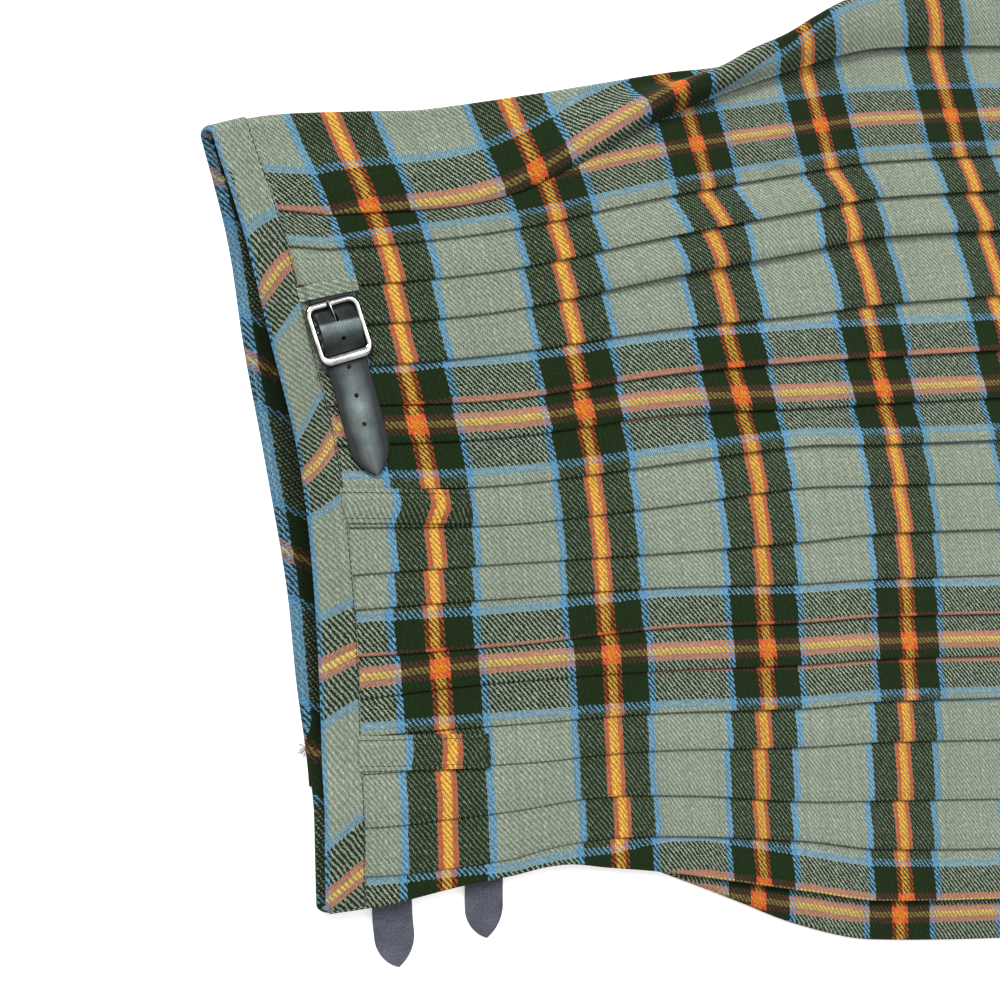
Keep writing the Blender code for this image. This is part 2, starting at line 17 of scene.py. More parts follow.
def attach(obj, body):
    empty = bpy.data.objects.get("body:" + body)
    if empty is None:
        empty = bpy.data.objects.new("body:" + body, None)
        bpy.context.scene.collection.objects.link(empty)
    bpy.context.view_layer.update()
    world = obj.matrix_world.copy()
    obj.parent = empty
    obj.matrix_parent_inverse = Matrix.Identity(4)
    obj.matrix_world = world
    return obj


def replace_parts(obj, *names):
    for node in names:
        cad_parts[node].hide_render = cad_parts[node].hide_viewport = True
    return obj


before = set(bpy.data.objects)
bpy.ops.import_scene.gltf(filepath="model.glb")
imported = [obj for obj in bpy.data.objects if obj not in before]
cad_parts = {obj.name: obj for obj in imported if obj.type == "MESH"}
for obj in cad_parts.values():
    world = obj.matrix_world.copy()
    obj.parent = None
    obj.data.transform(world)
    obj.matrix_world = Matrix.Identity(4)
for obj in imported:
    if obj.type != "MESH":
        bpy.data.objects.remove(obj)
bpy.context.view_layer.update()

MM = 0.001

# ---- the kilt's sizes, as in its solids
CLOTH = 1.0
GAP = 0.3
LAYER = CLOTH + GAP
DROP = 587.0
BAND = 20.0
PLEAT_SHARE = 0.85
PLEAT_RISE = 2 * LAYER
PLEAT_ROOT = PLEAT_RISE * PLEAT_SHARE
CENTRE = (157.2, 22.4)
SEAM = (
    (-345, -90), (-218, -93), (-133, -94), (-41, -99), (29, -108), (98, -125), (147, -137), (211, -157),
    (385, -207),
)
PLUS_SIDE = (
    (-185, 205), (-150, 218), (-113, 225.5), (-74, 231), (-52, 234), (25, 253), (108, 275), (169, 290),
    (213, 314), (255, 337), (390, 372),
)
MINUS_SIDE = (
    (-118, -231), (-100, -229.5), (-74, -231), (-50, -227), (-36, -225.5), (-16, -225.5), (5, -226),
    (22, -222.5), (40, -221.5), (66, -226.5), (97, -234), (120, -243.5), (164, -263), (215, -286),
    (273, -303), (495, -326),
)
# Near the low buckles the last fold edges sit this much further up: X, then the last three edges.
NUDGES = (
    (-110, 2.0, 2.5, 3.0), (-66, 1.0, 1.0, 2.0), (0, 3.0, 3.0, 5.0), (22, 4.0, 6.0, 8.0), (42, 4.0, 6.0, 8.0),
    (68, 2.5, 4.0, 4.0), (97, 1.0, 2.0, 2.0), (115, 0.0, 1.0, 1.0), (150, 0.0, 0.0, 0.0),
)
# Each row is a pleat's fold edge: its Y at each FOLD_X, how far it is lifted from the hip down, and
# how far across the tartan's rows the cloth is there, as a share of one sett.
FOLD_X = (-110, 0, 110, 210, 275, 490)
FOLDS = (
    # waist, hip, ..., hem, lift, sett
    (165, 186, 246, 289, 310, 338, 0.0, 0.00),
    (145, 165, 195, 219, 233, 262, 1.0, 0.335),
    (123, 141, 169, 193, 208, 236, 2.0, 0.52),
    (100, 116, 143, 166, 181, 205, 5.0, 0.64),
    (76, 90, 110, 124, 135, 160, 1.5, 0.71),
    (55, 62, 81, 93, 99, 118, 1.5, 0.97),
    (32, 39, 55, 62, 67, 82, 1.0, 0.09),
    (6, 10, 24, 37, 39, 50, 2.0, 0.32),
    (-15, -14, -3, 9, 11, 16, 1.0, 0.52),
    (-43, -38, -33, -27, -22, -18, 1.5, 0.63),
    (-63, -59, -55, -55, -53, -52, 0.8, 0.715),
    (-90, -88, -81, -81, -79, -82, 1.0, 0.955),
    (-115, -110, -108, -109, -108, -113, 0.8, 0.105),
    (-136, -136, -135, -138, -137, -144, 1.5, 0.29),
    (-157, -159, -159, -164, -165, -176, 1.0, 0.51),
    (-188, -190, -188, -200, -205, -220, 1.2, 0.69),
    (-216, -219, -215, -226, -238, -256, 2.0, 0.72),
    (-237, -231, -238, -259, -273, -292, 3.0, 0.98),
)
LAST_SETT = ((0, 0.895), (40, 0.85), (93, 0.795), (130, 0.80), (160, 0.845), (203, 0.945), (232, 0.985))
FIRST_STRETCH = 1.3  # the first panel slopes, so its rows look closer together
SOLID_STATIONS = (-18, 3, 20, 45, 90, 145, 200, 260, 320, 400, 490, DROP)
OVER_Z = (0.5, 1.8)
UNDER_Z = (2.6, 5.7)
BACK_Z = (5.0, 10.8)
ZONE_END = 70.0
UNDER_REACH = 28.0
OVER_REACH = 64.0
BULGE = 7.0
COVER = 6.2
LAP = 0.6  # how far the under apron rises from the last hidden fold to the -Y side

# ---- the tartan
COLUMN_SETT = 112.8  # one repeat along the kilt
ROW_SETT = 106.5  # one repeat round it
COLUMN_AT = 57.5  # station of the first orange column

COLUMN_THREADS = 140  # threads in a repeat
ROW_THREADS = 108
# The stripes from an orange line to the middle of the grey, each with the thread where it ends.
COLUMN_STRIPES = (("yellow", 4), ("red", 8), ("green", 31), ("blue", 37), ("grey", 70))
ROW_STRIPES = (("gold", 2), ("rose", 6), ("green", 24), ("blue", 29), ("dull_grey", 54))
# Thick threads cover the ones that cross them. After its colour each wool has the extra share that
# it covers in a column and in a row, and how warm it is.
WOOL = {
    "yellow": ((1.0, 0.48, 0.025), 0.28, 0.37, 0.5),
    "red": ((0.76, 0.13, 0.03), 0.10, 0.22, 1.0),
    "green": ((0.012, 0.032, 0.0045), 0.14, 0.19, 0.0),
    "blue": ((0.16, 0.44, 0.70), 0.16, 0.20, 0.0),
    "grey": ((0.435, 0.51, 0.395), 0.0, 0.0, 0.0),
    "gold": ((1.0, 0.62, 0.05), 0.0, 0.52, 0.5),
    "rose": ((0.80, 0.25, 0.15), 0.0, 0.36, 1.0),
    "dull_grey": ((0.33, 0.395, 0.30), 0.0, 0.0, 0.0),
}
COLUMNS_SHOW = 0.62  # the columns' share of the surface
BLEED = (0.10, 0.22)  # how far a column's thread, and a row's, takes the hue of those beside it
COLUMN_SUNK = (0.25, 0.36)  # how much darker yellow and red threads look among dark ones
ROW_SUNK = (0.66, 0.84)
GLOW = (1.0, 0.10, 0.006)  # where warm stripes cross
FUZZ = (0.42, 0.45, 0.40)
# Ramps of greys over the colour: painted shade along a float, darkest where it sinks under; then slubs and
# worn places.
TWILL_PAINTED_SHADE = ((0.0, 0.24), (0.45, 0.86), (1.0, 1.06))
SLUBS = ((0.25, 0.74), (0.75, 1.18))
WEAR = ((0.3, 0.90), (0.7, 1.02))
UNDER_SETT = -0.12  # where the under apron comes out from under the last fold

# How far each panel's orange columns are out of line with the waist, at the first four of them. The
# first row is the over apron and the last the under apron.
SLIPS = (
    (2.0, 4.5, 6.0, -2.0), (4.3, 9.0, 12.7, -2.0), (6.0, 7.2, 12.7, 3.5), (3.5, 3.0, 4.0, 3.0),
    (2.0, 1.7, 2.0, 5.0), (-1.2, -2.0, -1.0, 0.0), (-2.2, -3.7, -2.0, -1.0), (-1.0, -5.5, -2.8, -2.0),
    (-1.5, -7.0, -0.9, -1.0), (-1.5, -6.8, -1.8, -1.5), (-4.5, -7.0, -3.2, -2.0), (-6.6, -6.9, -4.5, -3.5),
    (-4.0, -4.0, -3.5, -3.0), (-3.0, -3.3, -4.8, -4.0), (-1.0, -4.1, -8.0, -7.0), (-3.5, -2.8, -10.7, -9.0),
    (-3.3, 2.2, -12.2, -11.0), (-4.5, 0.0, -12.2, -11.0), (-4.5, 0.0, -12.2, -11.0),
)

# Where a panel's columns lean as they come down: panel, then station and mm across the panel.
LEANS = {
    2: ((200, 0.0), (255, 4.6), (345, 10.0), (420, 6.0), (500, 0.0)),
    3: ((280, 0.0), (345, -9.0), (420, -5.0), (500, 0.0)),
}
# By the band some panels' rows come lower: panel, then station and millimetres. At the side the over
# apron's columns lean: distance from the side, and millimetres.
ROW_DROPS = {
    0: ((-18, -5.5), (20, -4.8), (60, -1.0), (90, 0.0)),
    1: ((-18, -5.5), (20, -4.8), (60, -1.0), (90, 0.0)),
    5: ((-18, -3.0), (50, -2.8), (82, 0.0)),
}
SIDE_LEAN = ((0.0, 6.0), (22.0, 3.0), (48.0, 0.0))
STATIONS = np.linspace(SOLID_STATIONS[0], DROP, 122).tolist()  # of the finished cloth
PANEL_STEPS = 10
PANEL_BELLY = 0.25
CURLED = (3,)  # fold edges that curl over
ROLL_MERGES = (300.0, 350.0)  # stations where the side's bend opens into the roll

# Round the -Y side the band's leaves come together: the turn's angle, outer leaf, inner leaf.
BAND_TURN = (
    (90, 5.6, 1.9), (115, 4.7, 1.6), (140, 2.9, 1.3), (165, 1.8, 1.3), (190, 1.35, 1.3), (215, LAYER, LAYER),
    (240, LAYER, LAYER), (270, LAYER, LAYER),
)
# The band's cross stripes: how far across the kilt they lie, the repeats counted there, and their lean.
BAND_STRIPES = ((-262, -1.0), (-126, 0.0), (-21.7, 1.0), (92.6, 2.0), (220, 3.0))
BAND_LEAN = (
    (-157, 0.55), (-126, 1.1), (-101, 1.07), (-47, 1.4), (-22, 1.05), (5, 0.6), (67, 0.42), (93, 0.47),
    (124, 0.6), (193, 0.8), (220, 0.75),
)
LOWER_STRIPES = ((-212, -0.77), (-86, -2.0), (23, -3.0), (138, -4.0), (250, -5.0))
LOWER_LEAN = 0.5
BLUE_LINE = 0.243  # from an orange line to a blue one, in setts
BAND_BLUE = 20.0  # how far from the seam the blue line lies on the band's upper leaf
# And on its lower leaf, by Y.
LOWER_BLUE = ((-260, 13.0), (-150, 13.0), (-125, 21.5), (0, 22.5), (260, 22.5))
# Painted shade on the tube's inside, as a share taken off its colour:
MOUTH_SHADE = (0.15, 0.45)  # on the lower leaf: at the fold, and how much more at the seam
GREY_AT = (COLUMN_AT + COLUMN_SETT * 0.5, ROW_SETT * 0.5)  # the middle of a grey square

STRAP_WIDTH = 24.4
STRAP_THICK = 2.0
STRAP_POINT = 20.0
HOLE = 3.0
HOLES_AT = (4.2, 20.4, 37.6, 54.8)
PIN_HOLE = (-7.6, 3.4)  # its place and its half length
FRAME_CORNER = 5.0
FRAME_WIDTH = 34.2
FRAME_LENGTH = 37.4
FRAME_RISE = 4.4
FRAME_HALF_HEIGHT = 1.5
SIDE_BAR, TOP_BAR, END_BAR = 2.05, 2.3, 3.3  # half their widths
HIP_FRAME_TURN = 3.0  # degrees that the hip buckle lies askew on its strap
HIP_FRAME_SHIFT = (-0.3, -1.1)  # and how far along and across it
HIP_STRAP_SHIFT = (0.0, -0.6)
HIP_PIN_HOLE = -1.55  # across the strap's frame
HIP_STRAP_RISE = 1.045  # it goes a little higher over the bar than the low ones do
PIN_DRIFT = 0.17  # its pin leans across it
PIN = (-2.0, 3.6)
PIN_RADIUS = 1.1
TONGUE_RADIUS = 1.05
THROUGH_BUCKLE = (
    (-19, 1.6), (-14, 1.75), (-10.5, 3.0), (-6, 5.5), (-2, 7.3), (1.5, 7.1), (5, 5.2), (8.5, 2.8), (11, 1.7),
    (14.2, 1.5), (20, 1.5),
)
TONGUE_PATH = [(-4.6, 4.0), (-6.4, 4.3), (-8.0, 4.9), (-11.0, 6.3), (-15.4, 7.15), (-18.2, 7.2)]
SLIT_HALF = (
    (-18.2, 0.8), (-16.2, 0.8), (-14.8, 0.9), (-14.1, 2.1), (-13.4, 3.3), (-8.0, 3.5), (0.0, 3.6),
)
SLIT_ENDS = (-29.0, -21.0)
# Loose yarn at the band's inner edge: place, how many, length, spread, seed.
TUFTS = (
    ((-177.4, 204.6, 7.0), 12, 5.0, 2.0, 4),
    ((-171.3, 191.2, 7.0), 14, 6.0, 3.0, 5),
    ((-122.3, -143.2, 4.6), 26, 6.0, 2.4, 6),
)
KNOT = ((-115.1, 72.1, 20.0), 16, 4.0, 2.2, 9)
# How bright the painted highlight is along a strap, from its root to its point.
HIGHLIGHT_ALONG = ((0.0, 0.0), (0.24, 0.05), (0.34, 0.12), (0.46, 0.45), (0.62, 0.85), (0.80, 0.75), (1.0, 0.3))
# The painted highlight across the strap, brightest in its middle.
HIGHLIGHT_ACROSS = ((0.25, 1.0), (0.62, 0.55), (1.12, 0.0))
# And a painted highlight across its whole width where it bends down over the buckle's bar.
BEND_HIGHLIGHT = ((0.0, 0.0), (0.192, 0.0), (0.205, 0.95), (0.225, 0.55), (0.255, 0.22), (0.32, 0.0))
# The plate's colour by its smudges, and its painted light and shade by the height of its normal: bright where
# it faces up, dark where it turns down.
PLATE = ((0.35, (0.46, 0.46, 0.44)), (0.62, (0.88, 0.88, 0.86)))
PLATE_PAINTED_LIGHT = ((0.0, 0.10), (0.5, 0.22), (0.70, 0.04), (0.86, 0.06), (0.94, 0.85), (0.98, 1.0))
# Belt loops: Y of the middle, its drift, the length, and how far the stripes are out of line.
LOOPS = ((-3.0, -1.0, 80.0, 4.2), (-146.0, -5.0, 82.0, 1.5))
LOOP_WIDTH = 20.0
LOOP_SEWN = 0.62  # the rows of stitches, as a share of the half width
LOOP_ROW = 0.45
TOP_BUCKLE = (-104.0, 96.5, -74.5, 85.0)
LOW_BUCKLES = ((-74.0, -213.0, -82.0, 66.0), (-14.6, -208.0, -85.0, 60.0))

# Each row is one crease: X, Y, heading in degrees from +X, length, width, depth.
CREASES = (
    (186, 228, -20, 34, 5.0, 2.0),
    (196, 190, 24, 40, 7.0, 1.6),
    (150, 205, 30, 30, 6.0, -0.6),
    (230, 150, 10, 55, 8.0, 0.9),
    (-92, -5, 80, 9, 2.2, -0.7),
    (-95, -26, 8, 12, 2.0, -0.8),
    (-93, -36, -10, 11, 2.4, -0.9),
    (-94, -45, 12, 12, 2.2, -0.7),
    (-95, -58, 0, 11, 2.6, -0.8),
    (-96, 40, 70, 10, 2.4, -0.6),
    (-101, 62, 30, 12, 2.6, -0.5),
    (-116, 130, 60, 14, 3.0, -0.6),
    (-122, 160, 20, 12, 3.0, -0.5),
    (-80, -150, 5, 11, 2.4, -0.5),
    (-78, -172, -15, 11, 2.4, -0.5),
    (-52, -146, 85, 9, 1.6, 0.5),
    (-46, -146, 95, 9, 1.5, -0.5),
    (-39, -147, 88, 9, 1.6, 0.5),
)

# ---- the photograph's camera
TILT = math.radians(20.0)  # it leans towards the waist
DISTANCE = 747.3
FOCUS = 1213.0  # in pixels of a picture 1000 wide
SENSOR = 36.0

SUN_FROM = (-0.35, 0.75, 1.0)
SUN_STRENGTH = 2.6
SUN_WIDTH = 22.0
SKY = ((0.0, 0.10), (0.50, 0.27), (0.62, 0.49), (0.87, 0.49), (0.95, 1.17), (1.0, 1.17))
LAMP_AT = (0.45, 0.45, 1.1)  # it makes the right a little brighter than the left
LAMP_POWER = 4.4
LAMP_SIZE = 0.5
FLOOR_GLOW = 0.5  # the photograph's ground is bare white
FLOOR_Z = -0.0002
FLOOR_SIDE = 6.0

# The rolled edge of the over apron, at each station: how far its crest lies beyond the fold edge,
# the crest's height above the layers' base, the fold edge's lift, and the sett at the fold edge.
ROLL = (
    (-18, 3.0, 4.9, 0.0, 0.010),
    (60, 3.0, 4.9, 0.0, 0.020),
    (127, 3.5, 5.1, 0.0, 0.035),
    (178, 4.0, 6.0, 0.0, 0.064),
    (207, 4.4, 8.0, 0.2, 0.095),
    (237, 5.1, 11.5, 0.8, 0.130),
    (260, 7.6, 14.5, 1.6, 0.150),
    (290, 9.7, 17.5, 3.0, 0.195),
    (327, 11.0, 18.5, 4.5, 0.275),
    (350, 14.5, 18.5, 5.0, 0.330),
    (377, 16.5, 18.5, 5.0, 0.385),
    (404, 22.5, 18.5, 5.0, 0.450),
    (431, 27.0, 18.5, 5.0, 0.505),
    (490, 30.0, 17.0, 4.0, 0.550),
    (587, 34.0, 13.0, 3.0, 0.600),
)


# ---- curves through a table's rows
def along(rows, at, column=1):
    """The value of a column at a place between two rows, on a smooth curve through them."""
    at = min(max(at, rows[0][0]), rows[-1][0])
    last = len(rows) - 1
    i = max(k for k in range(last) if rows[k][0] <= at)
    before, start, end, after = (rows[min(max(k, 0), last)] for k in range(i - 1, i + 3))
    run = end[0] - start[0]
    rise0, rise1 = (
        run * (right[column] - left[column]) / (right[0] - left[0])
        for left, right in ((before, end), (start, after))
    )
    t = (at - start[0]) / run
    blend = 3 * t**2 - 2 * t**3
    curve = (t**3 - 2 * t**2 + t) * rise0 + (t**3 - t**2) * rise1
    return (1 - blend) * start[column] + blend * end[column] + curve


def smooth(low, high, at):
    t = min(max((at - low) / (high - low), 0.0), 1.0)
    return t * t * (3 - 2 * t)


def seam_x(y):
    return along(SEAM, y)


def lower_shift(y):
    """How much further to -X the lower side of the waist lies than the upper."""
    shift = 4 + 13.5 * math.exp(-(((y - 25) / 115) ** 2)) + 3.5 * math.exp(-(((y + 105) / 45) ** 2))
    return shift - 9.0 * smooth(205, 230, y)


def plan_x(station, y, lower=0.0):
    return seam_x(y) + station - lower * lower_shift(y)


def on_curve(rule, station):
    """The Y where a curve given as Y over X crosses a station's line."""
    y = 0.0
    for _ in range(8):
        y = rule(plan_x(station, y))
    return y


def fold_y(row, x):
    nudge = along(NUDGES, x, row - 14) if row > 14 else 0.0
    return along([(at, FOLDS[row][i]) for i, at in enumerate(FOLD_X)], x) + nudge


def fold_sett(row, station):
    """The tartan's row at a fold edge. The last one's varies, for there the side of the tube bends."""
    return along(LAST_SETT, station) if row == len(FOLDS) - 1 else FOLDS[row][-1]


def fold_lift(row, station):
    return FOLDS[row][-2] * smooth(140.0, 260.0, station)


def zone(station):
    """1 inside the waistband, 0 on the open cloth."""
    return 1.0 - smooth(4.0, ZONE_END, station)


def height(pair, station):
    return pair[0] + (pair[1] - pair[0]) * zone(station)


def chord(rule, station):
    """A height between two of the solids' stations, on the straight line that they take there."""
    return float(np.interp(station, SOLID_STATIONS, [rule(at) for at in SOLID_STATIONS]))


@functools.lru_cache(maxsize=None)
def side_y(station, plus):
    rows = PLUS_SIDE if plus else MINUS_SIDE
    return on_curve(lambda x: along(rows, x), station)


def bulge(station, y):
    """How far the layers over the two hip buckles are held up."""
    edge = side_y(station, False)
    return BULGE * (1 - smooth(50.0, 84.0, y - edge)) * (1 - smooth(105.0, 165.0, station))


@functools.lru_cache(maxsize=None)
def pleat_edges(station):
    """Y of each fold edge, and of the hidden fold behind it, at a station."""
    edges = [on_curve(lambda x, row=row: fold_y(row, x), station) for row in range(len(FOLDS))]
    widths = [a - b for a, b in zip(edges, edges[1:])]
    widths.append(widths[-1])
    depths = []
    for row in range(len(FOLDS)):
        before = widths[row - 1] if row else (side_y(station, True) - edges[0]) * 0.7
        depths.append(PLEAT_SHARE * min(before, widths[row]))
    hidden = [edge + depth for edge, depth in zip(edges, depths)]
    return edges, hidden


# ---- lines in a section, as (y, z)
def line(start, end, steps):
    """Points from start to end, without the end itself."""
    return [
        (start[0] + (end[0] - start[0]) * i / steps, start[1] + (end[1] - start[1]) * i / steps)
        for i in range(steps)
    ]


def arc(middle, radius, start, end, steps):
    """Points round a bend, both ends included."""
    return on_circle(middle, radius, [start + (end - start) * i / steps for i in range(steps + 1)])


def on_circle(middle, radius, degrees):
    angles = [math.radians(turn) for turn in degrees]
    return [(middle[0] + radius * math.cos(a), middle[1] + radius * math.sin(a)) for a in angles]


def bezier(points, steps):
    """A cubic curve through its first and last point, without the first."""
    made = []
    for i in range(1, steps + 1):
        t = i / steps
        weights = ((1 - t) ** 3, 3 * (1 - t) ** 2 * t, 3 * (1 - t) * t**2, t**3)
        made.append(tuple(sum(w * p[k] for w, p in zip(weights, points)) for k in (0, 1)))
    return made


def lengths(path):
    """The distance along a path to each of its points."""
    total = [0.0]
    for before, after in zip(path, path[1:]):
        total.append(total[-1] + math.dist(before, after))
    return total


def fold_tip(edge, top, steps=5):
    """The cloth's turn round a fold edge, after its upper point and down to its return."""
    return arc((edge, top - LAYER / 2), LAYER / 2, 90, 270, steps)[1:]


# ---- the cloth's sections
def plus_turn(station, floor, base):
    """Where the bend round the +Y side has its middle, and its radius."""
    radius = (base - floor) / 2
    return side_y(station, True) - radius - CLOTH / 2, radius


def minus_turn(station, floor, base):
    """The same for the -Y side."""
    radius = (base + LAP - floor) / 2
    return min(side_y(station, False) + radius + CLOTH / 2, pleat_edges(station)[0][-1] + 3.0), radius


def lowness(share):
    """1 on the side's lower layer, 0 on its upper one."""
    return 1.0 - smooth(0.0, 1.0, share)


def over_apron_section(station):
    """From the free edge along the surface, round the +Y side, over the roll to the first fold edge."""
    floor = height(OVER_Z, station)
    base = height(BACK_Z, station)
    edges, hidden = pleat_edges(station)
    start = side_y(station, False) + OVER_REACH
    turn, radius = plus_turn(station, floor, base)
    gap, rise, lift, sett = (along(ROLL, station, column) for column in (1, 2, 3, 4))
    edge, back = edges[0], hidden[0]
    crest = (edge + gap, base + rise)
    top = base + PLEAT_ROOT + PLEAT_RISE + lift
    merged = smooth(*ROLL_MERGES, station)
    last = 90.0 * (1 - merged)
    path = line((start, floor), (turn, floor), 40)
    path += arc((turn, floor + radius), radius, -90, last, 8)
    out = (-math.sin(math.radians(last)), math.cos(math.radians(last)))
    reach = 0.42 * math.dist(path[-1], crest)
    leave = (path[-1][0] + out[0] * reach, path[-1][1] + out[1] * reach)
    path += bezier((path[-1], leave, (crest[0] + reach, crest[1]), crest), 18)
    drop = crest[1] - top
    path += bezier(
        (crest, (crest[0] - 0.5 * gap, crest[1]), (edge + 0.25 * gap, top + 0.45 * drop), (edge, top)), 12
    )
    lip = len(path) - 1
    path += fold_tip(edge, top)
    path += line(path[-1], (back, base + LAYER), 3)[1:] + [(back, base + LAYER)]
    reached = lengths(path)
    rows = [sett * ROW_SETT + at - reached[lip] for at in reached]
    return path, [lowness((z - floor) / (base - floor)) for _, z in path], rows, [0] * len(path)


def panel_z(row, t, base, rise, lift):
    """Height of a pleat's panel from under the fold before it, t = 0, to its own fold edge, t = 1."""
    lead = 0.15
    slope = PLEAT_ROOT + (PLEAT_RISE - PLEAT_ROOT) * min(t / lead, 1.0)
    slope += PLEAT_ROOT * max(t - lead, 0.0) / (1 - lead)
    curl = math.sin(math.pi / 2 * min(t / 0.86, 1.0)) ** 1.6 - 0.3 * smooth(0.86, 1.0, t) * (row in CURLED)
    return base + slope + lift * curl + rise * math.sin(math.pi * t)


def back_section(station):
    """The back's panels, each from its hidden fold to the fold edge over the next one."""
    base = height(BACK_Z, station)
    edges, hidden = pleat_edges(station)
    path, rows, panels = [], [], []
    for row in range(len(FOLDS) - 1):
        edge, back = edges[row + 1], hidden[row + 1]
        lift = fold_lift(row + 1, station)
        panel = [(hidden[row], base), ((hidden[row] + edges[row]) / 2, base + PLEAT_ROOT / 2)]
        for i in range(PANEL_STEPS + 1):
            t = i / PANEL_STEPS
            panel.append((edges[row] + (edge - edges[row]) * t, panel_z(row + 1, t, base, PANEL_BELLY, lift)))
        lip = len(panel) - 1
        panel += fold_tip(edge, panel[-1][1])
        panel += [((edge + back) / 2, (panel[-1][1] + base + LAYER) / 2), (back, base + LAYER)]
        panel.append((back + LAYER / 2, base + LAYER / 2))
        reached = lengths(panel)
        stretch = 1.0 if row else FIRST_STRETCH
        edge_row = fold_sett(row + 1, station) * ROW_SETT
        rows += [edge_row + (at - reached[lip]) * stretch for at in reached]
        path += panel
        panels += [row + 1] * len(panel)
    path = [(y, z + bulge(station, y)) for y, z in path]
    return path, [0.0] * len(path), rows, panels


def under_apron_section(station):
    """From the last hidden fold, round the -Y side and back inside the tube to its free edge."""
    base = height(BACK_Z, station)
    floor = height(UNDER_Z, station)
    edges, hidden = pleat_edges(station)
    turn, radius = minus_turn(station, floor, base)
    far = side_y(station, True) - UNDER_REACH
    path = line((hidden[-1], base), (turn, base + LAP), 10)
    path += arc((turn, floor + radius), radius, 90, 270, 10)
    path += line((turn, floor), (far, floor), 60)[1:] + [(far, floor)]
    reached = lengths(path)
    from_edge = hidden[-1] - edges[-1]
    rows = [UNDER_SETT * ROW_SETT + at - from_edge for at in reached]
    lower = [lowness((z - floor) / (base - floor)) for _, z in path]
    path = [(y, z + bulge(station, y)) for y, z in path]
    return path, lower, rows, [len(FOLDS)] * len(path)


# ---- meshes
def link(name, data):
    """An object in the scene."""
    obj = bpy.data.objects.new(name, data)
    bpy.context.scene.collection.objects.link(obj)
    return obj


def add_mesh(name, points, faces, material, place=None, sharp=50.0):
    """An object from points in plan millimetres, with each point's place on the cloth as its UV."""
    mesh = bpy.data.meshes.new(name)
    world = (np.asarray(points, float) - (*CENTRE, 0.0)) * MM
    mesh.from_pydata(world.tolist(), [], faces)
    mesh.validate()
    if place is not None:
        corners = np.empty(len(mesh.loops), np.int32)
        mesh.loops.foreach_get("vertex_index", corners)
        layer = mesh.uv_layers.new(name="cloth")
        layer.data.foreach_set("uv", np.asarray(place, np.float32)[corners].ravel())
    mesh.shade_smooth()
    mesh.set_sharp_from_angle(angle=math.radians(sharp))
    mesh.materials.append(material)
    obj = link(name, mesh)
    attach(obj, "root")
    return obj


def quads(rows, columns, start=0, flip=False, round_rows=False, round_columns=False):
    """The faces of a grid of points, which may come round to its first row or column."""
    index = start + np.arange(rows * columns).reshape(rows, columns)
    if round_rows:
        index = np.vstack((index, index[:1]))
    if round_columns:
        index = np.hstack((index, index[:, :1]))
    a, b = index[:-1, :-1].ravel(), index[:-1, 1:].ravel()
    c, d = index[1:, 1:].ravel(), index[1:, :-1].ravel()
    return np.column_stack((d, c, b, a) if flip else (a, b, c, d))


def grid_normals(grid):
    normal = np.cross(np.gradient(grid, axis=0), np.gradient(grid, axis=1))
    return normal / np.maximum(np.linalg.norm(normal, axis=2, keepdims=True), 1e-9)


def wall(name, grid, away, material, place, sharp=50.0, keep=slice(None)):
    """A wall both ways from a grid of middle points. It keeps some cells and is closed round them."""
    rows, columns = grid.shape[:2]
    size = rows * columns
    upper = quads(rows, columns, flip=True)[keep].tolist()
    under = quads(rows, columns, size)[keep].tolist()
    rim = {}
    for face in upper:
        for a, b in zip(face, face[1:] + face[:1]):
            # An edge between two faces is met once each way.
            if rim.pop((b, a), None) is None:
                rim[a, b] = (b, a, a + size, b + size)
    points = np.concatenate(((grid + away).reshape(-1, 3), (grid - away).reshape(-1, 3)))
    uv = np.asarray(place, float).reshape(-1, 2)
    return add_mesh(name, points, upper + under + list(rim.values()), material, np.tile(uv, (2, 1)), sharp)


def shell(name, grid, place, material):
    """A sheet of cloth about a grid of middle points."""
    piece = wall(name, grid, grid_normals(grid) * CLOTH / 2, material, place)
    return piece


def circle(middle, first, second, radius, steps):
    """Points round a middle, in the plane of two directions."""
    turns = np.arange(steps)[:, None] * 2 * math.pi / steps
    return np.asarray(middle) + radius * (np.cos(turns) * first + np.sin(turns) * second)


def tubes(name, made, material, flip=False, closed=False):
    """Skins through rings of points. Each is capped at its two ends, or comes round to its first ring."""
    points, faces = [], []
    for rings in np.asarray(made, float):
        start, (rows, sides) = len(points), rings.shape[:2]
        points += rings.reshape(-1, 3).tolist()
        faces += quads(rows, sides, start, flip, closed, True).tolist()
        if not closed:
            first = list(range(start, start + sides))
            last = [index + (rows - 1) * sides for index in first]
            faces += [first, last[::-1]] if flip else [first[::-1], last]
    return add_mesh(name, points, faces, material)


# ---- creases
def creases(x, y):
    """Soft troughs and ridges, each a short stroke, summed at every point."""
    total = np.zeros_like(x)
    for at_x, at_y, heading, length, width, depth in CREASES:
        sin, cos = math.sin(math.radians(heading)), math.cos(math.radians(heading))
        dx, dy = x - at_x, y - at_y
        stroke = dx * cos + dy * sin
        across = -dx * sin + dy * cos
        across = across + 0.08 * width * np.sin(stroke / width)
        total += depth * np.exp(-((across / width) ** 2) - (stroke / length) ** 4)
    return total


def undulation(x, y, seed):
    """A slow unevenness made of a few waves in fixed directions."""
    rng = random.Random(seed)
    total = np.zeros_like(x)
    for _ in range(7):
        angle = rng.uniform(0, math.pi)
        wave = rng.uniform(28.0, 95.0)
        run = x * math.cos(angle) + y * math.sin(angle)
        total += np.sin(run * 2 * math.pi / wave + rng.uniform(0, 6.28))
    return total / 7


def slip(station, panel):
    """How far the columns have slipped in a panel, 0 being the over apron."""
    columns = [COLUMN_AT + COLUMN_SETT * k for k in range(4)]
    return float(np.interp(station, columns, SLIPS[panel]))


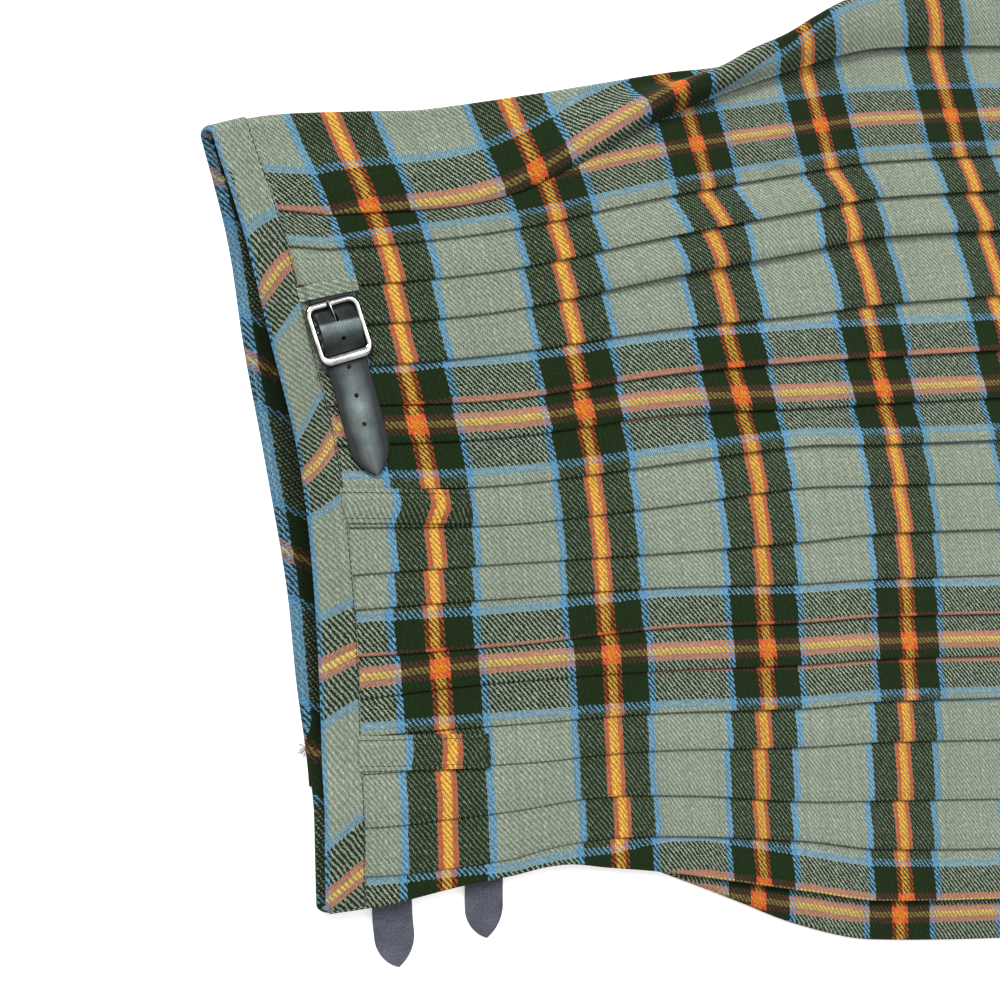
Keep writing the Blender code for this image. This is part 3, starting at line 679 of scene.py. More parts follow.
def lean(station, panel, y):
    """And how far they lean at a point of it."""
    if panel == 0:
        return -along(SIDE_LEAN, side_y(station, True) - y)
    if panel not in LEANS:
        return 0.0
    before, after = pleat_edges(station)[0][panel - 1:panel + 1]
    return along(LEANS[panel], station) * ((before - y) / (before - after) - 0.5)


def cloth_grid(section):
    """The middle points of a cloth wall, and the place of each on the cloth."""
    points, place = [], []
    for station in STATIONS:
        path, lower, rows, panels = section(station)
        points.append([(plan_x(station, y, share), y, z) for (y, z), share in zip(path, lower)])
        spots = []
        for (y, _), row, panel in zip(path, rows, panels):
            drop = along(ROW_DROPS[panel], station) if panel in ROW_DROPS else 0.0
            spots.append((station - slip(station, panel) - lean(station, panel, y), row + drop))
        place.append(spots)
    return np.array(points), np.array(place)


def setts(place):
    """A place on the cloth in repeats of the tartan, with an orange line at each whole number."""
    return (np.asarray(place, float) - (COLUMN_AT, 0.0)) / (COLUMN_SETT, ROW_SETT)


def over_apron(material):
    grid, place = cloth_grid(over_apron_section)
    x, y, z = grid[..., 0], grid[..., 1], grid[..., 2]
    z += np.clip((z - 4.5) / 4.0, 0, 1) * (creases(x, y) + 0.5 * undulation(x, y, 3))
    return shell("over_apron_cloth", grid, setts(place), material)


def pleated_back(material):
    grid, place = cloth_grid(back_section)
    x, y = grid[..., 0], grid[..., 1]
    open_cloth = np.clip((place[..., 0] - 10) / 60, 0, 1)
    grid[..., 2] += open_cloth * (creases(x, y) + 0.35 * (1 + undulation(x, y, 7)))
    return shell("pleated_back_cloth", grid, setts(place), material)


def under_apron(material):
    grid, place = cloth_grid(under_apron_section)
    return shell("under_apron_cloth", grid, setts(place), material)


# ---- materials
def rgba(colour):
    """A colour's four numbers, from three of them or from one for a grey."""
    return (*(colour if isinstance(colour, tuple) else (colour,) * 3), 1.0)


class Value:
    """A node's output. A sign between two of them adds a math node."""

    def __init__(self, nodes, socket):
        self.nodes, self.socket = nodes, socket

    def __getitem__(self, name):
        """Another output of the same node."""
        return Value(self.nodes, self.socket.node.outputs[name])

    def joined(self, operation, other):
        return self.nodes.math(operation, self, other)

    __add__ = functools.partialmethod(joined, "ADD")
    __sub__ = functools.partialmethod(joined, "SUBTRACT")
    __mul__ = functools.partialmethod(joined, "MULTIPLY")
    __truediv__ = functools.partialmethod(joined, "DIVIDE")
    __gt__ = functools.partialmethod(joined, "GREATER_THAN")
    __lt__ = functools.partialmethod(joined, "LESS_THAN")


class Nodes:
    """The node tree of a new material or world, with short calls for the nodes used here."""

    def __init__(self, name, kind="materials"):
        self.owner = getattr(bpy.data, kind).new(name)
        self.owner.use_nodes = True
        self.tree = self.owner.node_tree

    def add(self, kind, links=(), **settings):
        """The first output of a new node."""
        made = self.tree.nodes.new("ShaderNode" + kind)
        for key, value in settings.items():
            setattr(made, key, value)
        for key, value in dict(links).items():
            self.set(made.inputs[key], value)
        return Value(self, made.outputs[0])

    def set(self, socket, value):
        if isinstance(value, Value):
            self.tree.links.new(value.socket, socket)
        else:
            socket.default_value = value

    def math(self, operation, *values):
        return self.add("Math", dict(enumerate(values)), operation=operation)

    def mix(self, share, a, b, blend="MIX"):
        a, b = (colour if isinstance(colour, Value) else rgba(colour) for colour in (a, b))
        links = {"Factor": share, "A": a, "B": b}
        return self.add("Mix", links, data_type="RGBA", blend_type=blend)["Result"]

    def times(self, a, b):
        return self.mix(1.0, a, b, "MULTIPLY")

    def ramp(self, value, stops, constant=False):
        made = self.add("ValToRGB", {0: value})["Color"]
        ramp = made.socket.node.color_ramp
        ramp.interpolation = "CONSTANT" if constant else "LINEAR"
        while len(ramp.elements) < len(stops):
            ramp.elements.new(0.5)
        for element, (at, colour) in zip(ramp.elements, stops):
            element.position = at
            element.color = rgba(colour)
        return made

    def noise(self, vector, scale, detail=2.0):
        return self.add("TexNoise", {"Vector": vector, "Scale": scale, "Detail": detail})["Fac"]

    def place(self):
        return self.add("TexCoord")["Object"]

    def bump(self, height, distance, strength):
        return self.add("Bump", {"Height": height, "Distance": distance, "Strength": strength})["Normal"]

    def finish(self, shader="Principled BSDF", **values):
        for key, value in values.items():
            self.set(self.tree.nodes[shader].inputs[key.replace("_", " ")], value)
        return self.owner


def stripe_colour(nodes, place, threads, stripes, seed, kind):
    """The colour of the thread at a place in setts, its cover, warmth and darkness, and its number."""
    index = nodes.math("FLOOR", place * float(threads))
    # The stripes read the same both ways from an orange line, so half a repeat is enough.
    half = nodes.math("PINGPONG", (index + 0.5) / float(threads), 0.5)
    stops, facts, at = [], [], 0.0
    for name, until in stripes:
        colour, *covers, warmth = WOOL[name]
        stops.append((at, colour))
        facts.append((at, (covers[kind], warmth, float(name == "green"))))
        at = until / threads
    facts = nodes.add("SeparateColor", {0: nodes.ramp(half, facts, constant=True)})
    chance = nodes.add("TexWhiteNoise", {"W": index + seed}, noise_dimensions="1D")["Value"]
    shade = nodes.ramp(chance, ((0.0, 0.72), (1.0, 1.0)))
    return nodes.times(nodes.ramp(half, stops, constant=True), shade), facts, index


def tinged(nodes, colour, other, share):
    """A thread's colour with some of the hue, but not the brightness, of the threads beside it."""
    def hue(of):
        return nodes.mix(1.0, of, nodes.add("RGBToBW", {0: of}), "SUBTRACT")

    shift = nodes.mix(1.0, hue(other), hue(colour), "SUBTRACT")
    # A dark thread takes little of it.
    light = nodes.add("RGBToBW", {0: colour}) * (2.2 * share)
    return nodes.mix(nodes.math("MINIMUM", light, share), colour, shift, "ADD")


def sunk(nodes, colour, facts, across, amounts):
    """Warm threads look darker among dark ones, by one share for yellow and one for red."""
    red = facts["Green"] > 0.75
    yellow = (facts["Green"] > 0.25) - red
    return nodes.mix((yellow * amounts[0] + red * amounts[1]) * across["Blue"], colour, 0.0)


def tartan():
    """A 2/2 twill of coloured threads: each crossing shows the column's thread or the row's."""
    nodes = Nodes("tartan_wool")
    uv = nodes.add("UVMap", uv_map="cloth")
    split = nodes.add("SeparateXYZ", {0: uv})
    u, v = split["X"], split["Y"]
    # The threads wander a little, and each stripe's edge is ragged.
    for scale, amount in ((14.0, 0.012), (75.0, 0.014)):
        wander = (nodes.noise(uv, scale, 3.0) - 0.5) * amount
        u, v = u + wander, v - wander
    column, of_column, _ = stripe_colour(nodes, u, COLUMN_THREADS, COLUMN_STRIPES, 0.37, 0)
    row, of_row, j = stripe_colour(nodes, v, ROW_THREADS, ROW_STRIPES, 91.7, 1)
    # A float's place in the four-thread step: 0 to the columns' share is a column on top.
    uneven = (nodes.noise(uv, 300.0, 3.0) - 0.5) * 1.9
    step = nodes.math("FRACT", (u * float(COLUMN_THREADS) - j + uneven) / 4.0)
    share = of_column["Red"] - of_row["Red"] + COLUMNS_SHOW
    on_top = step < share
    # Each float is proud in its middle and sinks where it goes under.
    column_float = nodes.math("PINGPONG", step / share, 0.5)
    left = nodes.math("SUBTRACT", 1.0, share)
    row_float = nodes.math("PINGPONG", (step - share) / left, 0.5) * 0.66
    belly = nodes.mix(on_top, row_float, column_float) * 2.0
    relief = belly + nodes.math("PINGPONG", v * float(ROW_THREADS), 0.5) * 0.5
    of_the_row = sunk(nodes, tinged(nodes, row, column, BLEED[1]), of_row, of_column, ROW_SUNK)
    of_the_column = sunk(nodes, tinged(nodes, column, row, BLEED[0]), of_column, of_row, COLUMN_SUNK)
    colour = nodes.mix(on_top, of_the_row, of_the_column)
    warm = (of_row["Green"] > 0.25) * of_column["Green"]
    colour = nodes.mix((warm > 0.25) * 0.5, colour, GLOW)
    # Painted shade where each float sinks under, and on the row floats, which lie lower.
    colour = nodes.times(colour, nodes.ramp(belly, TWILL_PAINTED_SHADE))
    for scale, stops in ((48.0, SLUBS), (2.3, WEAR)):
        colour = nodes.times(colour, nodes.ramp(nodes.noise(uv, scale, 3.0), stops))
    fuzz = nodes.noise(uv, 300.0, 3.0)
    colour = nodes.mix(nodes.math("POWER", fuzz, 3.0) * 0.08, colour, FUZZ)
    # Painted shade from the shade attribute. Cloth without the attribute reads 0 and stays as it is.
    painted_mouth_shade = nodes.add("Attribute", attribute_name="shade")["Fac"]
    return nodes.finish(
        Base_Color=nodes.mix(painted_mouth_shade, colour, 0.0),
        Roughness=0.95,
        Specular_IOR_Level=0.08,
        Sheen_Weight=0.03,
        Sheen_Roughness=0.5,
        Normal=nodes.bump(relief + fuzz * 0.6, 0.0003, 0.8),
    )


def leather(name, colour, roughness, grain, relief, highlight=None):
    """Leather with a fine grain. Its highlight is the colour of a painted highlight along a strap's middle
    and across its bend.
    """
    nodes = Nodes(name)
    place = nodes.place()
    cells = nodes.add("TexVoronoi", {"Vector": place, "Scale": grain})["Distance"]
    soft = nodes.noise(place, grain * 0.12, 4.0)
    mottle = soft + nodes.noise(place, grain * 2.2, 3.0) * 1.4 - 0.7
    shade = nodes.ramp(mottle, ((0.2, 0.62), (0.8, 1.4)))
    made = nodes.times(colour, shade)
    # Painted highlight: the colour goes lighter along the strap's middle and across its bend.
    if highlight:
        where = nodes.add("SeparateXYZ", {0: nodes.add("UVMap", uv_map="cloth")})
        across = nodes.math("ABSOLUTE", where["X"]) + nodes.noise(place, 45.0, 3.0) * 0.5
        highlight_share = nodes.times(nodes.ramp(across, HIGHLIGHT_ACROSS), nodes.ramp(where["Y"], HIGHLIGHT_ALONG))
        highlight_share = nodes.mix(1.0, highlight_share, nodes.ramp(where["Y"], BEND_HIGHLIGHT), "ADD")
        made = nodes.mix(highlight_share, made, nodes.times(highlight, shade))
    return nodes.finish(
        Base_Color=made,
        Roughness=soft * 0.25 + (roughness - 0.12),
        Specular_IOR_Level=0.22,
        Normal=nodes.bump(cells + nodes.noise(place, grain * 2.5) * 0.5, relief, 0.6),
    )


def chrome():
    """Polished plate with smudges, painted bright where it faces up and painted dark where it turns down."""
    nodes = Nodes("chrome")
    place = nodes.place()
    smudge = nodes.noise(place, 160.0, 4.0)
    facing = nodes.add("SeparateXYZ", {0: nodes.add("NewGeometry")["Normal"]})["Z"]
    # Painted light and shade by which way the surface faces.
    return nodes.finish(
        Base_Color=nodes.times(nodes.ramp(smudge, PLATE), nodes.ramp(facing, PLATE_PAINTED_LIGHT)),
        Metallic=1.0,
        Roughness=smudge * 0.14 + 0.05,
        Normal=nodes.bump(nodes.noise(place, 900.0), 0.00003, 0.25),
    )


def yarn(name, colour):
    nodes = Nodes(name)
    soft = nodes.noise(nodes.place(), 1400.0, 3.0)
    colour = nodes.times(colour, nodes.ramp(soft, ((0.3, 0.7), (0.7, 1.15))))
    return nodes.finish(Base_Color=colour, Roughness=0.85, Normal=nodes.bump(soft, 0.0001, 0.6))


# ---- waistband and belt loops
def band_rows(station):
    """The tube at the waist as rows of: Y, Z, outward direction, outer leaf, inner leaf, lower share."""
    floor, under, base = OVER_Z[1], UNDER_Z[1], BACK_Z[1]
    edges, hidden = pleat_edges(station)
    down, up = (0.0, -1.0), (0.0, 1.0)
    rows = []

    def bend(turn, radius, low, leaves):
        for degrees, outer, inner in leaves:
            out = (math.cos(math.radians(degrees)), math.sin(math.radians(degrees)))
            y, z = turn + radius * out[0], low + radius + radius * out[1]
            rows.append((y, z, *out, outer, inner, lowness((1 + out[1]) / 2)))

    start = side_y(station, False) + OVER_REACH
    turn, radius = plus_turn(station, floor, base)
    for i in range(12):
        rows.append((start + (turn - start) * i / 12, floor, *down, LAYER, LAYER, 1.0))
    bend(turn, radius, floor, [(degrees, LAYER, LAYER) for degrees in np.linspace(-90, 90, 9)])
    rows.append((hidden[0], base, *up, PLEAT_RISE + LAYER + 0.1, LAYER, 0.0))
    rows.append(((hidden[0] + edges[0]) / 2, base, *up, COVER, LAYER, 0.0))
    for edge, after in zip(edges, edges[1:]):
        for share in (0.0, 0.5):
            rows.append((edge + (after - edge) * share, base, *up, COVER, LAYER + 0.7, 0.0))
    # Round the -Y side the outer leaf comes down from the pleats to lie on the apron.
    turn, radius = minus_turn(station, under, base)
    bend(turn, radius, under, BAND_TURN)
    far = side_y(station, True) - UNDER_REACH
    close = 104.0
    places = [turn + close * i / 13 for i in range(1, 14)]
    places += [turn + close + (far - turn - close) * i / 5 for i in range(1, 6)]
    return rows + [(y, under, *down, LAYER, LAYER, 1.0) for y in places]


def finer(rows, times):
    """Rows of numbers with more rows between them, on straight lines."""
    rows = np.array(rows, float)
    at = np.linspace(0, len(rows) - 1, (len(rows) - 1) * times + 1)
    return np.stack([np.interp(at, np.arange(len(rows)), column) for column in rows.T], axis=1)


def band_section(outer, inner):
    """Middle line of the folded strip, as (station, away from the tube's middle)."""
    middle, radius = (outer - inner) / 2, 1.3
    high, low = middle + radius, middle - radius
    path = [(2.4, outer - 0.8), (1.9, outer - 0.25), (1.0, outer), (-3.0, outer), (-7.0, outer * 0.99)]
    path += [(-11.0, outer * 0.97 + middle * 0.03), (-15.0, outer * 0.86 + high * 0.14)]
    path.append((-BAND + 2.2, (outer + high) / 2))
    for angle in (0.6, 1.1, 1.57, 2.05, 2.55):
        path.append((-BAND + 0.5 + radius - radius * math.sin(angle), middle + radius * math.cos(angle)))
    path += [(-BAND + 2.2, (low - inner) / 2), (-15.0, low * 0.14 - inner * 0.86)]
    return path + [(-11.0, -inner), (-5.0, -inner), (0.0, -inner)]


def waistband(material, threads):
    near, far = SOLID_STATIONS[:2]
    first, second = (finer(band_rows(at), 3) for at in (near, far))
    middle = (OVER_Z[1] + UNDER_Z[1]) / 2
    grid, place, shade = [], [], []
    for row, after in zip(first, second):
        out_y, out_z, outer, inner, share = row[2:]
        (y0, z0), (y1, z1) = row[:2], after[:2]
        z0 += bulge(near, y0) * (z0 > middle)
        z1 += bulge(far, y1) * (z1 > middle)
        section = band_section(outer, inner)
        ring, spots = [], []
        for (station, away), across in zip(section, lengths(section)):
            part = (station - near) / (far - near)
            y = y0 + (y1 - y0) * part + out_y * away
            z = z0 + (z1 - z0) * part + out_z * away
            x = plan_x(station, y, share) + 6.0 * smooth(216, 244, y) * min(max(-station / BAND, 0.0), 1.0)
            if out_z > 0.5 and away > 0:
                z += float(creases(np.array(x), np.array(y)))
            ring.append((x, y, z))
            spots.append((across - 2.4, y, out_z))
        grid.append(ring)
        place.append(spots)
        shade.append([share * (MOUTH_SHADE[0] + MOUTH_SHADE[1] * smooth(-18, -8, at)) for at, _ in section])
    grid, place = np.array(grid), np.array(place)
    front = (place[:, 0, 2] > 0.5) & (grid[:, 3, 2] > middle)
    back = (place[:, 0, 2] < -0.5) & (grid[:, -3, 1] > -35) & (grid[:, -3, 1] < 92)
    stitches("seam_stitches", grid[front, 2] + (0.6, 0, CLOTH / 2 + 0.1), 2.4, 0.9, 0.28, threads[0])
    stitches("facing_stitches", grid[back, -5] + (0, 0, CLOTH / 2 + 0.1), 2.2, 2.2, 0.22, threads[1])
    piece = shell("waistband_cloth", grid, band_setts(place), material)
    # Painted shade: the tube's inside is darkened as it lies in the shade of its mouth.
    attribute = piece.data.attributes.new("shade", "FLOAT", "POINT")
    attribute.data.foreach_set("value", np.tile(np.array(shade).ravel(), 2))
    return piece


def band_setts(place):
    """The band is cut askew, so its cross stripes lean and its twill is drawn out along them."""
    across, y, side = place[..., 0], place[..., 1], place[..., 2]
    upper = side >= 0
    lean = np.where(upper, [[along(BAND_LEAN, -at) for at in row] for row in y], LOWER_LEAN)
    lying = -y - (np.clip(across, 0, 40) - BAND / 2) * lean
    counts = [
        [stripe_count(BAND_STRIPES if up else LOWER_STRIPES, at) for at, up in zip(*row)]
        for row in zip(lying, upper)
    ]
    blue = np.where(upper, BAND_BLUE, [[along(LOWER_BLUE, at) for at in row] for row in y])
    drawn = np.where(upper & (across < blue), 1.03 + 0.93 * lean, 0.78)
    return np.stack((BLUE_LINE + (blue - across) * drawn / COLUMN_THREADS, counts), axis=-1)


def stripe_count(stripes, at):
    first, last = stripes[0], stripes[-1]
    if at < first[0]:
        return first[1] + (at - first[0]) / ROW_SETT
    if at > last[0]:
        return last[1] + (at - last[0]) / ROW_SETT * math.copysign(1, last[1] - first[1])
    return along(stripes, at)


def cover_z(station, y):
    """The middle of a layer of cloth that lies on the pleats' fold edges."""
    return chord(lambda at: height(BACK_Z, at) + bulge(at, y), station) + COVER


def belt_loop(name, middle, drift, length, shift, material, threads):
    """A strip sewn along both long edges, a little proud between them."""
    grid, place = [], []
    for share in np.linspace(0, 1, 41):
        station = GAP + length * share
        centre = middle + drift * share
        row, spots = [], []
        for j, across in enumerate(np.linspace(-1, 1, 17)):
            y = centre - across * LOOP_WIDTH / 2
            dome = 0.8 * (1 - across**2) - 0.35 * math.exp(-(((abs(across) - LOOP_SEWN) / 0.08) ** 2))
            dome += 0.12 * math.sin(share * 21 + j) * (1 - across**2)
            z = cover_z(station, y) + 0.3 + dome - 0.5 * smooth(0.97, 1.0, share)
            row.append((plan_x(station, y), y, z))
            bent = shift * (0.5 - 0.55 * across + 0.25 * math.cos(3.0 * across))
            spots.append((station - bent, centre - y + LOOP_ROW * ROW_SETT))
        grid.append(row)
        place.append(spots)
    grid = np.array(grid)
    for side, column in (("upper", 14), ("lower", 2)):
        sewn = grid[:, column] + (0, 0, CLOTH / 2 + 0.05)
        stitches(f"{name}_{side}_stitches", sewn, 2.4, 0.9, 0.24, threads[0])
    stitches(f"{name}_bar_tack", grid[-2] + (0, 0, CLOTH / 2 + 0.1), 0.9, 0.1, 0.5, threads[0])
    return shell(name, grid, setts(place), material)


def stitches(name, line, length, gap, thick, material):
    """Sewing thread along a line of points: a short bowed stitch at every step."""
    reached = lengths(line)

    def spot(at):
        return np.array([np.interp(at, reached, column) for column in line.T])

    made = []
    for start in np.arange(0.5, reached[-1] - length, length + gap):
        rings = []
        for share in (0.0, 0.2, 0.5, 0.8, 1.0):
            at = start + length * share
            run = spot(at + 0.2) - spot(at - 0.2)
            run /= max(np.linalg.norm(run), 1e-6)
            side = np.cross((0.0, 0.0, 1.0), run)
            side /= np.linalg.norm(side)
            middle = spot(at) + (0, 0, thick * (4 * share * (1 - share) - 0.55))
            radius = thick * (0.6 if share in (0.0, 1.0) else 1.0)
            rings.append(circle(middle, side, np.cross(run, side), radius, 6))
        made.append(rings)
    return tubes(name, made, material)


def tuft(name, place, count, length, spread, seed, material):
    """Loose ends of yarn: a few bent hairs from one spot."""
    rng = random.Random(seed)
    made = []
    for _ in range(count):
        heading = rng.uniform(0, 2 * math.pi)
        turn = rng.uniform(-2.5, 2.5)
        reach = length * rng.uniform(0.5, 1.0)
        off = (rng.uniform(-spread, spread), rng.uniform(-spread, spread), rng.uniform(0, 0.8))
        at = np.array(place) + off
        rings = []
        for i in range(6):
            angle = heading + turn * i / 5
            side = np.array((-math.sin(angle), math.cos(angle), 0.0))
            rings.append(circle(at, side, np.array((0.0, 0.0, 1.0)), 0.16 * (1 - 0.12 * i), 4))
            at = at + (math.cos(angle) * reach / 5, math.sin(angle) * reach / 5, 0.25 * math.sin(i + heading))
        made.append(rings)
    return tubes(name, made, material)


# ---- straps and buckles
class Seat:
    """A buckle's own axes: u along the strap to its point, w across it, n away from the cloth."""

    def __init__(self, x, y, z, heading, slope=(0.0, 0.0), flipped=False):
        angle = math.radians(heading)
        self.origin = Vector((x, y, z))
        self.n = Vector((-slope[0], -slope[1], 1.0)).normalized() * (-1 if flipped else 1)
        ahead = Vector((math.cos(angle), math.sin(angle), 0.0))
        self.u = (ahead - self.n * ahead.dot(self.n)).normalized()
        self.w = self.n.cross(self.u)

    def at(self, u, w, n):
        return tuple(self.origin + self.u * u + self.w * w + self.n * n)

    def ring(self, middle, first, second, radius, steps):
        return [self.at(*point) for point in circle(middle, np.array(first), np.array(second), radius, steps)]


def stand_in(piece, node):
    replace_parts(piece, node)


def buckle_frame(name, node, seat, material):
    """A rounded frame with a thicker end bar, swept as an oval section, and its centre bar."""
    half_w = FRAME_WIDTH / 2 - SIDE_BAR
    low, high = -FRAME_LENGTH / 2 + TOP_BAR, FRAME_LENGTH / 2 - END_BAR
    rings = []
    for quarter, (cu, cw) in enumerate(((1, 1), (-1, 1), (-1, -1), (1, -1))):
        middle_u = (high - FRAME_CORNER) if cu > 0 else (low + FRAME_CORNER)
        middle_w = cw * (half_w - FRAME_CORNER)
        for i in range(13):
            angle = math.pi / 2 * (quarter + i / 12)
            du, dw = math.cos(angle), math.sin(angle)
            bar = SIDE_BAR * dw**2 + (END_BAR if du > 0 else TOP_BAR) * du**2
            middle = (middle_u + FRAME_CORNER * du, middle_w + FRAME_CORNER * dw, FRAME_RISE)
            rings.append(seat.ring(middle, (bar * du, bar * dw, 0), (0, 0, FRAME_HALF_HEIGHT), 1.0, 24))
    pin = [seat.ring((PIN[0], w, PIN[1]), (1, 0, 0), (0, 0, 1), PIN_RADIUS, 20) for w in (-half_w, half_w)]
    frame_piece = tubes(name, [rings], material, flip=True, closed=True)
    for piece in (frame_piece, tubes(f"{name}_bar", [pin], material, flip=True)):
        stand_in(piece, node)


def tongue(name, seat, material, drift):
    """A wire hooked round the centre bar, up through the strap's hole and over the top bar."""
    hook = PIN_RADIUS + GAP + TONGUE_RADIUS
    path = finer(arc(PIN, hook, 25, -175, 10) + TONGUE_PATH, 2)
    last = len(path) - 1
    rings = []
    for i, (u, n) in enumerate(path):
        before, after = path[max(i - 1, 0)], path[min(i + 1, last)]
        run = Vector(after - before).normalized()
        radius = TONGUE_RADIUS * {0: 0.45, 1: 0.8}.get(last - i, 1.0)
        middle = (u, drift * min(u + 5.0, 0.0), n)
        rings.append(seat.ring(middle, (-run.y, 0, run.x), (0, 1, 0), radius, 16))
    return tubes(name, [rings], material, flip=True)


def chape(name, seat, material):
    """A short cloth tab round the centre bar, its two ends sewn down."""
    turn = on_circle(PIN, PIN_RADIUS + GAP + CLOTH / 2, (-70, -110, -150, 180, 140, 100, 60))
    path = [(5.5, 0.8), (1.0, 0.9), *turn, (1.0, 3.7), (2.5, 2.2), (5.5, 2.1)]
    pieces = []
    for number, (low, high) in enumerate(((-10.0, -2.4), (2.4, 10.0)), 1):
        places = np.linspace(low, high, 6)
        grid = np.array([[seat.at(u, w, n) for w in places] for u, n in path])
        place = [[(GREY_AT[0] + at, w + GREY_AT[1]) for w in places] for at in lengths(path)]
        pieces.append(shell(f"{name}_{number}", grid, setts(place), material))
    return pieces


def buckle(name, seat, metal, wool, drift=0.0):
    buckle_frame(f"{name}_metal", f"{name}_frame", seat, metal)
    stand_in(tongue(f"{name}_pin", seat, metal, drift), f"{name}_tongue")
    for piece in chape(f"{name}_tab", seat, wool):
        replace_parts(piece, f"{name}_chape")


def strap(name, seat, path, holes, materials):
    """A leather strap along path, its skin a grid with round holes punched through."""
    reached = lengths(path)
    places = np.linspace(0, reached[-1], int(reached[-1] / 0.6))
    u_line, n_line = (np.interp(places, reached, [point[k] for point in path]) for k in (0, 1))
    for _ in range(3):
        n_line[1:-1] = (n_line[:-2] + 2 * n_line[1:-1] + n_line[2:]) / 4
    tip = path[-1][0]
    taper = np.clip((u_line - (tip - STRAP_POINT)) / STRAP_POINT, 0, 1)
    width = np.maximum(STRAP_WIDTH / 2 * (1 - taper**2.2) ** 0.78, 0.5)
    columns = np.linspace(-1, 1, 37)
    u, w = np.meshgrid(u_line, columns, indexing="ij")
    w *= width[:, None]
    mid_u = ((u_line[1:] + u_line[:-1]) / 2)[:, None]
    mid_w = np.outer((width[1:] + width[:-1]) / 2, (columns[1:] + columns[:-1]) / 2)
    keep = np.ones(mid_w.shape, bool)
    for hole, half_u, hole_w in holes:
        keep &= ((mid_u - hole) / half_u) ** 2 + ((mid_w - hole_w) / (HOLE / 2)) ** 2 > 1
        # Points close to a hole's edge are drawn onto it, so that it is round.
        off = np.hypot((u - hole) / half_u, (w - hole_w) / (HOLE / 2))
        off[(off <= 0.72) | (off >= 1.3)] = 1.0
        u, w = hole + (u - hole) / off, hole_w + (w - hole_w) / off
    grid = np.array([[seat.at(*spot, n) for spot in zip(*row)] for *row, n in zip(u, w, n_line)])
    # Its long edges are rounded.
    thick = STRAP_THICK / 2 * (1 - np.abs(columns) ** 14 * 0.45)
    away = grid_normals(grid) * thick[:, None]
    share, across = np.meshgrid((u_line - u_line[0]) / (tip - u_line[0]), columns, indexing="ij")
    piece = wall(name, grid, away, materials[0], np.stack((across, share), axis=-1), 40.0, keep.ravel())
    # Its underside is the flesh side.
    piece.data.materials.append(materials[1])
    cells = np.count_nonzero(keep)
    indices = np.zeros(len(piece.data.polygons), np.int32)
    indices[cells:2 * cells] = 1
    piece.data.polygons.foreach_set("material_index", indices)
    return piece


def strap_holes(pin_w, count):
    """The tongue's slot, and round holes along the middle."""
    return [(*PIN_HOLE, pin_w)] + [(u, HOLE / 2, 0.0) for u in HOLES_AT[:count]]


def pointed_end(tip, rises):
    """Places along the strap's free end, close together at its point, with the height from rises."""
    start = THROUGH_BUCKLE[-1][0]
    places = [start + (tip - STRAP_POINT - start) * share for share in (0.25, 0.5, 0.75)]
    places += [tip - STRAP_POINT * share for share in (1.0, 0.75, 0.55, 0.38, 0.24, 0.13, 0.05, 0.0)]
    return [(u, along(rises, u)) for u in places]


def hip_seat(turn=0.0, shift=(0.0, 0.0)):
    x, y, heading, _ = TOP_BUCKLE

    def cloth(x, y):
        return cover_z(x - seam_x(y), y)

    slope = (
        (cloth(x + FRAME_WIDTH / 2, y) - cloth(x - FRAME_WIDTH / 2, y)) / FRAME_WIDTH,
        (cloth(x, y + FRAME_LENGTH / 2) - cloth(x, y - FRAME_LENGTH / 2)) / FRAME_LENGTH,
    )
    straight = Seat(x, y, cloth(x, y) - CLOTH / 2 - GAP, heading, slope)
    return Seat(*straight.at(*shift, 0.0), heading + turn, slope)


def slit_edge(seat, material):
    """The turned edge of the slit that the strap comes out of, over the strap's root."""
    path = [*SLIT_HALF, *((-w, n) for w, n in SLIT_HALF[-2::-1])]
    ends = np.linspace(*SLIT_ENDS, 9)
    middle = sum(SLIT_ENDS) / 2
    reached = np.array(lengths(path))
    waves = 0.25 * np.cos(np.arange(len(ends)) * 1.7)
    grid = np.array([[seat.at(u, w, n - wave) for u, wave in zip(ends, waves)] for w, n in path])
    rows = (reached - reached[-1] / 2) * 0.7 + GREY_AT[1]
    place = [[(GREY_AT[0] + u - middle, row) for u in ends] for row in rows]
    return shell("strap_slit_cloth", grid, setts(place), material)


def hip_buckle(metal, leathers, wool):
    buckle("hip_buckle", hip_seat(HIP_FRAME_TURN, HIP_FRAME_SHIFT), metal, wool, PIN_DRIFT)
    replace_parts(slit_edge(hip_seat(), wool), "strap_slit_edge")
    tip = TOP_BUCKLE[3]
    through = [(u, n * HIP_STRAP_RISE) for u, n in THROUGH_BUCKLE]
    path = [(-27.0, 1.6)] + through + pointed_end(tip, ((20.0, 1.5), (tip, 1.5)))
    holes = strap_holes(HIP_PIN_HOLE - HIP_STRAP_SHIFT[1], 4)
    piece = strap("hip_strap_leather", hip_seat(0.0, HIP_STRAP_SHIFT), path, holes, leathers)
    stand_in(piece, "hip_strap")


